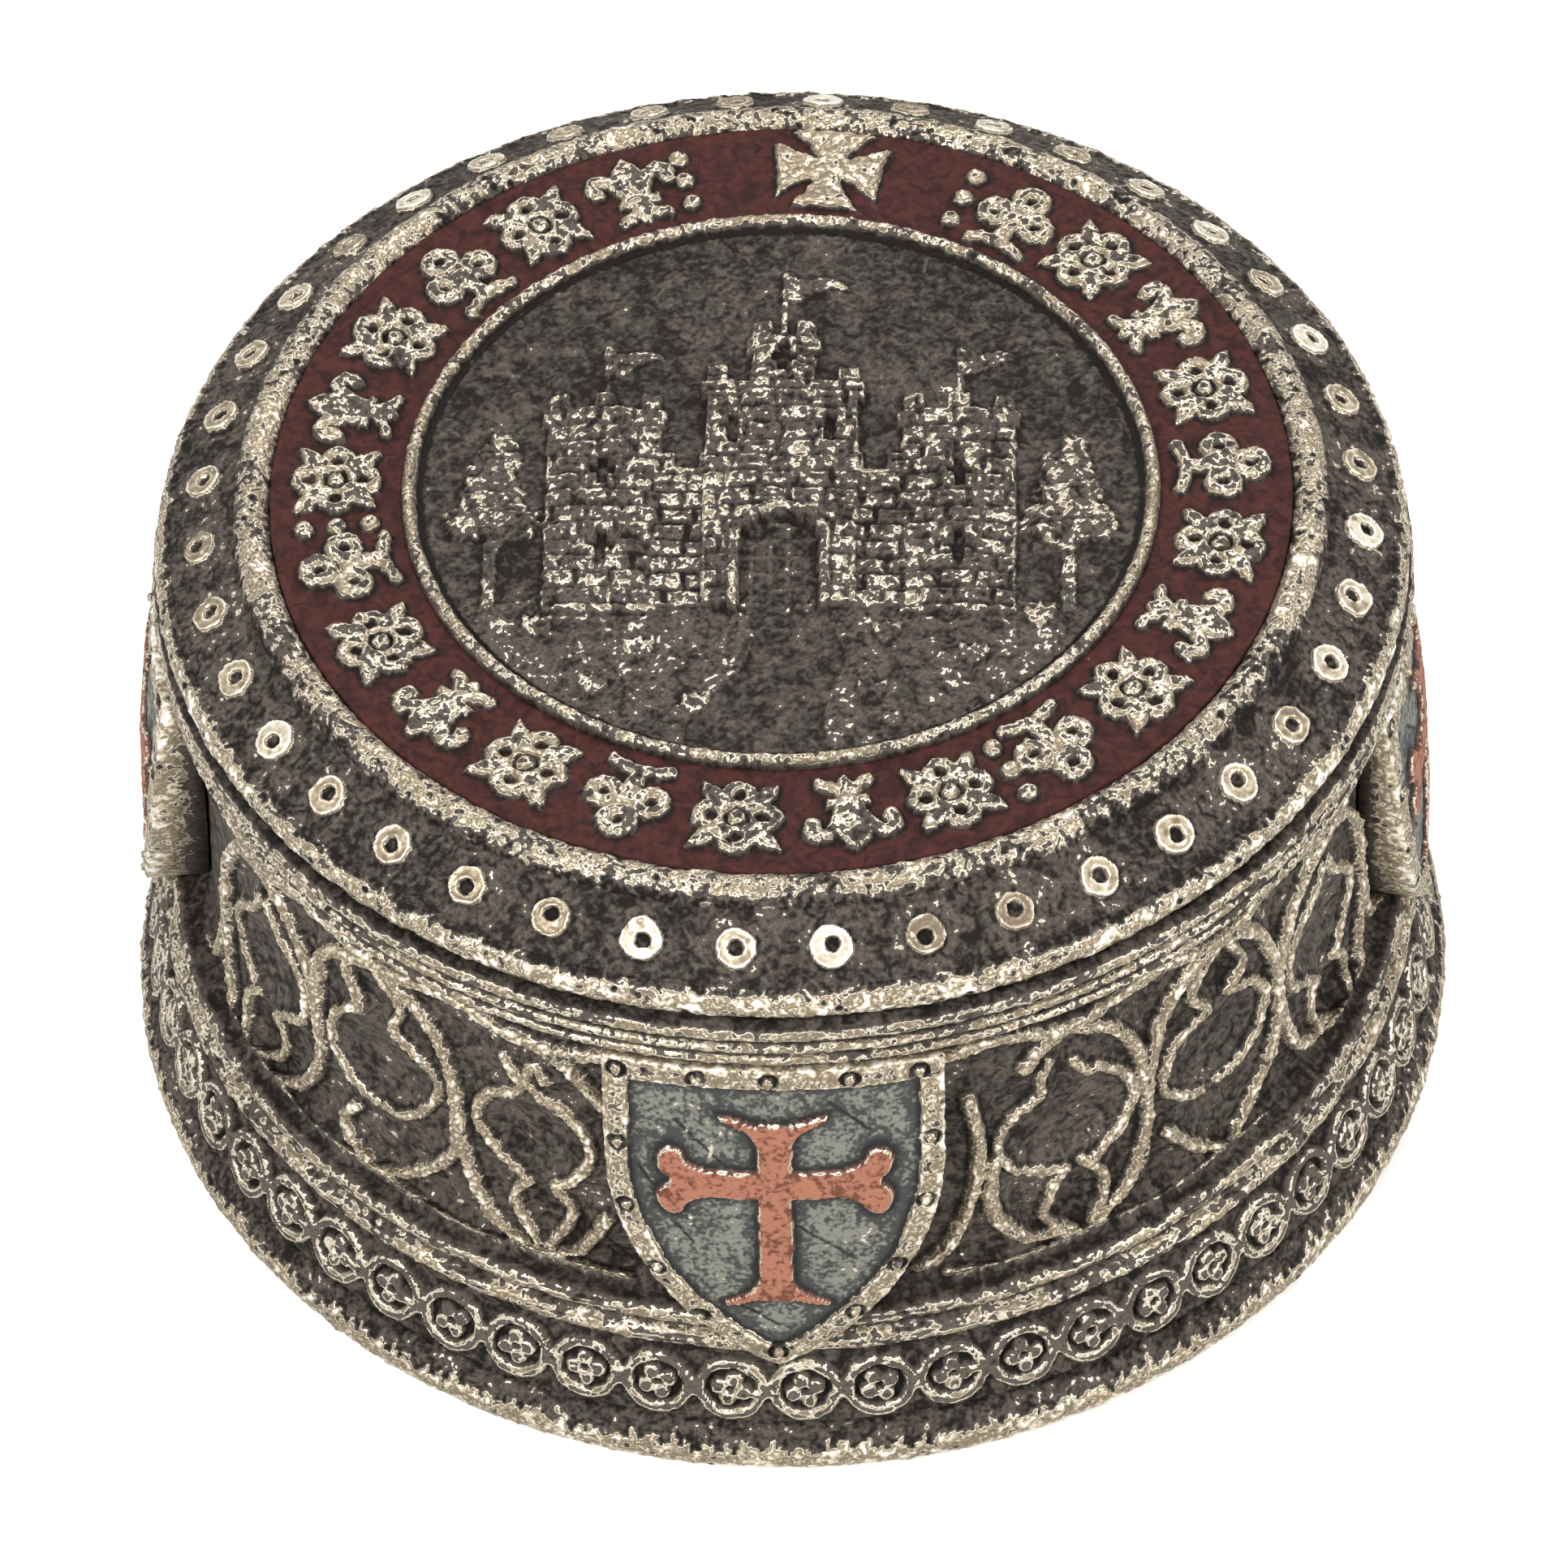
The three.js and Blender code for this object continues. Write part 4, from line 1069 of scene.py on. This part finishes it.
def makeMedallion():
    d, c = lidForm, castle
    piece, grid = gridPiece("lid_medallion", c["cells"], c["cells"])
    u, v = grid[:, 0], grid[:, 1]
    x = d["medallionRadius"] * u * np.sqrt(1 - v * v / 2)
    y = d["medallionRadius"] * v * np.sqrt(1 - u * u / 2)
    radius = np.hypot(x, y)
    flatX, flatY = x, y
    x = x + 0.1 * ripple(flatX, flatY, 3.0)
    y = y + 0.1 * ripple(flatX, flatY, 2.6, 5.0)
    lift = np.zeros(len(x))
    base = c["ground"]

    def raiseTo(shape, height, soft=0.14):
        np.maximum(lift, height * smoothStep(-soft, soft, shape), out=lift)

    # mound with a path up to the gate
    moundTop = base + 2.0 * (1 - (x / 23.0) ** 2)
    mound = moundTop - y
    raiseTo(mound, 0.6, 0.4)
    path = 2.2 + 0.22 * (base - y) - np.abs(x - 1.4 * np.sin((base - y) * 0.42))
    lift -= 0.34 * smoothStep(-0.2, 0.3, np.minimum(path, mound - 0.6))
    built = raiseWall(x, y, lift, c["walls"], base)
    for side in (-1, 1):
        tower = {**c["towers"], "middle": side * c["towers"]["middle"]}
        built = np.maximum(built, raiseWall(x, y, lift, tower, base - 0.6))
    built = np.maximum(built, raiseWall(x, y, lift, c["turret"], c["gate"]["top"] - 1))
    built = np.maximum(built, raiseWall(x, y, lift, c["gate"], base))
    # irregular stones
    row = np.floor((y - base) / c["course"])
    inRow = (y - base) / c["course"] - row
    shift = x / c["stone"] + 7 * chanceOf(row, 1.0)
    column = np.floor(shift)
    inStone = shift - column
    joint = np.minimum(np.minimum(inRow, 1 - inRow) * c["course"], np.minimum(inStone, 1 - inStone) * c["stone"])
    stones = smoothStep(0.04, 0.3, joint) * 0.34 + 0.2 * (chanceOf(column, row) - 0.5)
    inside = smoothStep(0.1, 0.4, built)
    lift += inside * (stones - 0.34)
    # flags on the towers and the turret
    masts = ((0, c["turret"]["top"] + 1.2, 5.6, 4.6), (-12.4, 8.3, 5.4, 4.0), (12.4, 8.3, 5.4, 4.0))
    for mx, my, height, length in masts:
        raiseTo(slab(x, y, mx - 0.3, mx + 0.3, my - 0.6, my + height), 0.7)
        wave = 0.35 * np.sin((x - mx) * 1.5)
        fly = 1.35 * (1 - (x - mx) / (length + 1.2)) - np.abs(y - my - height + 1.5 + wave)
        raiseTo(np.minimum(slab(x, y, mx, mx + length, my, my + height + 1.0), fly), 0.75)
    # trees: a forked trunk and leafy clumps
    for side in (-1, 1):
        tree = x - side * c["tree"]
        raiseTo(slab(tree, y, -0.55, 0.55, base - 0.4, base + 8.0), 0.8)
        raiseTo(stroke(tree, y, [(0, base + 4.6), (side * -1.3, base + 7.4)], 0.35), 0.75)
        for cx, cy, size in ((0, 10.6, 2.4), (-1.5, 8.0, 1.9), (1.5, 8.0, 1.9), (0, 13.4, 1.9), (0.4, 15.4, 1.1)):
            away = np.hypot(tree - cx, y - base - cy)
            leaves = 0.3 * ripple(x, y, 1.3, 7.0)
            raiseTo(size - away + leaves, 1.15 - 0.25 * np.clip(away / size, 0, 1) + 0.6 * leaves, 0.4)
    # tufts and stones on the mound
    for tx, ty in ((-16.5, -14.5), (-9.5, -16.5), (-5.5, -21.5), (7.5, -15), (13.5, -17), (6.5, -20.5), (18, -13.5),
                   (-12.5, -20)):
        for lean in (-0.7, 0, 0.7):
            raiseTo(leaf(x, y, tx, ty, 35 * lean, 2.5, 0.95), 0.95)
    # the gateway, its hood, the bars in it and the slits are cut last
    spring = base + c["archHeight"] - c["archHalf"]

    def archShape(half):
        return np.maximum(slab(x, y, -half, half, base - 0.4, spring), half - np.hypot(x, y - spring))

    arch = archShape(c["archHalf"])
    raiseTo(np.minimum(archShape(c["archHalf"] + 0.85), -arch), 1.85)
    open_ = smoothStep(-0.1, 0.1, arch)
    bars = np.minimum(np.abs(np.mod(x, 1.3) - 0.65), np.abs(np.mod(y, 1.5) - 0.75))
    lift[:] = lift * (1 - open_) + open_ * (0.1 + 0.45 * smoothStep(0.32, 0.16, bars))
    for sx, sy in ((-12.4, 1.2), (12.4, 1.2), (-12.4, -6.0), (12.4, -6.0), (-3.4, 5.2), (3.4, 5.2), (0, 12.2)):
        slit = np.maximum(slab(x - sx, y - sy, -0.34, 0.34, -1.5, 1.5), slab(x - sx, y - sy, -0.85, 0.85, -0.2, 0.45))
        cut = smoothStep(-0.08, 0.08, slit)
        lift[:] = lift * (1 - cut) + 0.25 * cut
    # raised curls on the ground, as an uneven casting leaves them
    ground = smoothStep(0.25, 0.05, lift)
    curls = smoothStep(0.16, 0.05, np.abs(ripple(flatX, flatY, 2.2, 9.0)))
    lift += ground * 0.12 * curls
    lift *= smoothStep(d["innerRing"] - 0.6, d["innerRing"] - 0.9, radius)
    ringLift = 0.95 * np.sqrt(np.clip(1 - ((radius - d["innerRing"]) / 0.56) ** 2, 0, 1))
    sunk = c["sunk"] * smoothStep(d["innerRing"] - 0.4, d["innerRing"] - 0.8, radius)
    z = d["field"] + np.maximum(lift - sunk, ringLift)
    setPoints(piece, np.stack([flatX, flatY, z], 1))
    closeBehind(piece, move=(0, 0, -1.5))
    points = getPoints(piece)
    top = points[:, 2] > d["field"] - 1.0
    height = points[:, 2] - d["field"] + c["sunk"]
    inRing = np.hypot(points[:, 0], points[:, 1]) > d["innerRing"] - 0.6
    height = np.where(inRing, height - c["sunk"], height)
    raised = np.where(top, smoothStep(0.25, 0.75, height), 0)
    castSkin(piece, 1.0, 0.2, top * (0.5 + 0.5 * raised))
    castSkin(piece, 0.55, 0.24, top * (0.25 + 0.75 * raised), "HARD_NOISE")
    clumps = 0.12 * ripple(points[:, 0], points[:, 1], 2.4, 2.0)
    reach = np.hypot(points[:, 0], points[:, 1])
    # painted shadow: a dark line on the ground just inside the ring, at the foot of its inner wall
    groove = smoothStep(0.3, 0.12, np.abs(reach - d["innerRing"] + 0.78))
    relief = raised * (0.38 + 1.3 * clumps) - 0.08 * top - 0.3 * groove + 0.16 * inRing
    keep = smoothStep(d["medallionRadius"], d["medallionRadius"] - 0.2, reach)
    dryBrush(piece, relief, 0.9, keep, 0.55 + 0.3 * raised)
    finishPiece(piece, "lid", "lid", bodyBronze)


makeMedallion()


def makeLidUnderside():
    d = lidForm
    ceiling = 47.05
    section = [(0, ceiling), (32.9, ceiling), (33.5, ceiling - 0.5), (33.5, 41.4), (33.7, 41.2), (36.4, 41.2),
               (36.8, 41.4), (37.0, 41.8), (37.0, lidBottom), (40.0, lidBottom), (40.0, lidBottom + 1.2),
               (36.2, d["edgeTop"] + 1.0), (35.6, 49.3), (0, 49.3)]
    piece = turnedPiece("lid_underside", denser(section, 1.6), 256)
    castSkin(piece, 5.0, 0.1)
    dryBrush(piece, np.full(len(piece.data.vertices), 0.12), 0.5)
    finishPiece(piece, "lid", "lid", bodyBronze)


makeLidUnderside()


# Shields: heater plates that lean out to their tips, with a riveted border and a cross with splayed ends

shields = {
    "half": 11.6,
    "top": 40.1,
    "shoulder": 31.5,
    "tip": 10.9,
    "footProud": 3.95,
    "topProud": 1.7,
    "swell": 2.5,
    "seat": 0.25,
    "border": 1.65,
    "borderRise": 0.45,
    "columns": 150,
    "rows": 196,
    "cross": {"top": 35.9, "middle": 29.6, "foot": 17.4, "reach": 8.06, "bar": 1.2, "end": 3.65, "side": 3.1,
              "rise": 0.42},
    "rivet": 0.36,
    "topRivets": (-10.6, -5.2, -0.3, 5.2, 9.9),
    "sideRivets": (32.9, 27.0, 21.0, 16.4),
    "scratches": (((-6.7, 35.2), (-3.2, 31.0)), ((-6.8, 25.1), (-5.7, 23.5)), ((1.2, 25.8), (5.2, 22.1)),
                  ((3.8, 37.0), (6.5, 34.3)), ((-2.6, 17.2), (0.1, 15.1)), ((-9.3, 30.4), (-8.4, 28.9))),
}


def shieldHalf(z):
    s = shields
    drop = s["shoulder"] - s["tip"]
    sweep = (s["half"] ** 2 + drop ** 2) / (2 * s["half"])
    below = np.sqrt(np.maximum(sweep ** 2 - np.minimum(z - s["shoulder"], 0) ** 2, 0)) - (sweep - s["half"])
    return np.where(z >= s["shoulder"], s["half"], np.maximum(below, 0))


def shieldFace(z):
    # radius of the plate's face at a height: it leans out and swells towards the tip
    s = shields
    share = np.clip((z - s["tip"]) / (s["top"] - s["tip"]), 0, 1)
    return wallRadius + s["footProud"] + (s["topProud"] - s["footProud"]) * share ** s["swell"]


def shieldOutline():
    s = shields
    heights = np.concatenate([[s["top"]], np.linspace(s["shoulder"], s["tip"], 48)])
    right = [(float(shieldHalf(np.array(h))), float(h)) for h in heights]
    return right + [(-x, z) for x, z in right[::-1]] + [right[0]]


def crossShape(x, z):
    # how far a point is inside the cross
    c = shields["cross"]
    x = x + 0.1 * ripple(x, z, 3.1)
    up, side = z - c["middle"], np.abs(x)
    bars = np.maximum(np.minimum(c["bar"] - side, np.minimum(c["top"] - 0.6 - z, z - c["foot"] - 0.6)),
                      np.minimum(c["bar"] - np.abs(up), c["reach"] - 0.9 - side))
    # the upper and lower ends spread in a curve to two points, with a shallow dip between them
    for length, reach in ((c["top"] - c["middle"], up), (c["middle"] - c["foot"], -up)):
        spread = c["bar"] + (c["end"] - c["bar"]) * np.clip((reach - length + 3.0) / 2.7, 0, 1) ** 2.4
        end = length - 0.85 * np.cos(np.clip(side / c["end"], 0, 1) * 0.5 * math.pi) ** 2 - reach
        bars = np.maximum(bars, np.minimum(np.minimum(spread - side, end), reach - 1))
    # the side ends spread into two lobes, taller than wide, with a notch between them
    lobe = 1.0 - np.hypot(side - c["reach"] + 1.0, (np.abs(up) - c["side"] + 1.4) / 1.42)
    neck = c["bar"] + 1.5 * np.clip((side - c["reach"] + 4.2) / 3.0, 0, 1) ** 2 - np.abs(up)
    neck = np.minimum(np.minimum(neck, c["reach"] - 0.75 - side), side - 1)
    return np.maximum(bars, np.maximum(lobe, neck))


def makeShield(name, turn, proud):
    s = shields
    piece, grid = gridPiece(name.replace("_shield", "_heater_shield"), s["columns"], s["rows"])
    u, v = grid[:, 0], (grid[:, 1] + 1) / 2
    z = s["tip"] + (s["top"] - s["tip"]) * v ** 1.12
    x = u * shieldHalf(z)
    edge = pathDistance(x, z, shieldOutline())
    wave = 0.12 * ripple(x, z, 5.0, turn + 1)
    border = smoothStep(s["border"] + 0.14, s["border"] - 0.1, edge + wave)
    inside = crossShape(x, z)
    cross = smoothStep(-0.08, 0.12, inside) * (1 - border)
    lift = np.maximum(s["borderRise"] * border, s["cross"]["rise"] * cross)
    places = [(px, s["top"] - 0.95) for px in s["topRivets"]]
    for height in s["sideRivets"]:
        reach = float(shieldHalf(np.array(height))) - 0.92
        places += [(-reach, height - 0.3), (reach, height + 0.2)]
    places.append((0, s["tip"] + 1.55))
    pit = np.zeros(len(x))
    for px, pz in places:
        away = np.hypot(x - px, z - pz)
        lift += 0.26 * smoothStep(s["rivet"] + 0.08, s["rivet"] - 0.16, away)
        pit = np.maximum(pit, smoothStep(0.24, 0.08, np.abs(away - 0.56)))
    lift -= 0.3 * pit + 0.14 * smoothStep(0.3, 0.0, edge)
    dents = 0.05 * ripple(x, z, 2.4, 2.0 + turn)
    radius = shieldFace(z) + lift + dents + proud
    setPoints(piece, np.stack([x, -np.sqrt(radius ** 2 - x ** 2), z], 1))
    closeBehind(piece, shrink=0.9)
    points = getPoints(piece)
    x, z = points[:, 0], points[:, 2]
    reach = np.hypot(points[:, 0], points[:, 1])
    front = reach > shieldFace(z) + proud - 0.5
    # the back of the block lies against the wall
    points[:, :2] *= np.where(front, 1, (wallRadius + s["seat"]) / reach)[:, None]
    edge = pathDistance(x, z, shieldOutline())
    wave = 0.12 * ripple(x, z, 5.0, turn + 1)
    border = smoothStep(s["border"] + 0.14, s["border"] - 0.1, edge + wave)
    inside = crossShape(x, z)
    cross = smoothStep(-0.02, 0.06, inside) * (1 - border)
    pit = np.zeros(len(x))
    for px, pz in places:
        pit = np.maximum(pit, smoothStep(0.24, 0.1, np.abs(np.hypot(x - px, z - pz) - 0.56)))
    angle = math.radians(turn)
    turned = points.copy()
    turned[:, 0] = math.cos(angle) * points[:, 0] - math.sin(angle) * points[:, 1]
    turned[:, 1] = math.sin(angle) * points[:, 0] + math.cos(angle) * points[:, 1]
    setPoints(piece, turned)
    castSkin(piece, 1.2, 0.14, front * (0.5 + 0.5 * border))
    castSkin(piece, 0.55, 0.16, front * (0.4 + 0.6 * border), "HARD_NOISE")
    # thin pale edges: both lips of the border and the outline of the cross
    lip = np.maximum(smoothStep(0.42, 0.16, np.abs(edge - 0.12)), smoothStep(0.3, 0.1, np.abs(edge + wave - s["border"])))
    crossLip = smoothStep(0.15, 0.04, np.abs(inside - 0.05)) * (1 - border)
    mottle = 0.12 * ripple(x, z, 1.9, 3.0 + turn)
    quarter = smoothStep(0.4, 1.6, np.minimum(-inside, edge - s["border"]))
    relief = border * (0.46 + 1.5 * mottle) + 0.18 * lip + 0.34 * crossLip + 0.14 + 0.07 * quarter - 0.5 * pit
    ragged = np.where(front, 0.7 + 0.3 * border - 0.3 * cross, 0.5)
    dryBrush(piece, np.where(front, relief, 0.08), 0.8, front, ragged)
    # a few deep scratches cross the paint, which is rubbed thin in the middle of each quarter
    scratch = np.zeros(len(x))
    for begin, end in s["scratches"]:
        scratch = np.maximum(scratch, smoothStep(0.17, 0.05, pathDistance(x, z, [begin, end])))
    worn = 0.34 * quarter + 0.14 * ripple(x, z, 6.0, 5.0) - 0.3 * scratch
    # painted shade: the field is darkened beside the cross and inside the border; the scratches are stored in the same
    # layer
    paintedShadeAndScratches = np.maximum(smoothStep(-0.75, -0.12, inside) * (cross < 0.5), smoothStep(0.6, 0.1, edge + wave - s["border"]))
    writeAttribute(piece, "paint", np.where(front, 1 - border, 0))
    writeAttribute(piece, "cross", np.where(front, cross, 0))
    writeAttribute(piece, "worn", worn)
    writeAttribute(piece, "paintedShadeAndScratches", np.clip(np.maximum(0.85 * paintedShadeAndScratches, scratch), 0, 1) * front)
    finishPiece(piece, name, "base", shieldPaint)


# the right shield is glued on a little towards the front, and the left one stands a little proud
makeShield("front_shield", 0, 0)
makeShield("right_shield", 88, 0)
makeShield("back_shield", 180, 0)
makeShield("left_shield", 270, 0.5)


# Plain pale studio

studio = {"floor": "#f4f4f2", "size": 6.0, "key": 2.6, "fill": 1.2, "top": 1.0, "world": 0.52, "glow": 0.45}


def makeStudio():
    bpy.ops.object.select_all(action="DESELECT")
    bpy.ops.mesh.primitive_plane_add(size=studio["size"], location=(0, 0, 0))
    floor = bpy.context.object
    floor.name = "floor"
    material, tree, shader = newMaterial("white_paper")
    shader.inputs["Base Color"].default_value = toLinear(studio["floor"])
    shader.inputs["Roughness"].default_value = 0.9
    shader.inputs["Specular IOR Level"].default_value = 0.1
    seen = addNode(tree, "LightPath", out="Is Camera Ray")
    glow = addNode(tree, "Math", {0: seen, 1: studio["glow"]}, operation="MULTIPLY")
    shader.inputs["Emission Color"].default_value = (1, 1, 1, 1)
    tree.links.new(glow, shader.inputs["Emission Strength"])
    floor.data.materials.append(material)
    world = bpy.data.worlds.new("studio")
    bpy.context.scene.world = world
    world.use_nodes = True
    tree = world.node_tree
    background = tree.nodes["Background"]
    camera = addNode(tree, "LightPath", out="Is Camera Ray")
    rays = camera.node.outputs
    seen = addNode(tree, "Math", {0: camera, 1: rays["Is Glossy Ray"]}, operation="MAXIMUM")
    seen = addNode(tree, "Math", {0: seen, 1: rays["Is Transmission Ray"]}, operation="MAXIMUM")
    strength = addNode(tree, "MapRange", {"Value": seen, "To Min": studio["world"], "To Max": 1.0})
    tree.links.new(strength, background.inputs["Strength"])
    background.inputs["Color"].default_value = (1, 1, 1, 1)
    lamps = (("key", (-0.5, -0.7, 0.9), 0.5, studio["key"]), ("fill", (0.8, -0.5, 0.5), 0.6, studio["fill"]),
             ("top", (0.1, 0.5, 1.0), 0.6, studio["top"]))
    for name, place, size, watts in lamps:
        lamp = bpy.data.lights.new(name, "AREA")
        lamp.shape = "DISK"
        lamp.size = size
        lamp.energy = watts * 3
        holder = bpy.data.objects.new(name, lamp)
        bpy.context.collection.objects.link(holder)
        holder.location = place
        holder.rotation_euler = (-Vector(place)).to_track_quat("-Z", "Y").to_euler()
    bpy.context.scene.view_settings.view_transform = "Standard"


makeStudio()
print("studio ready")
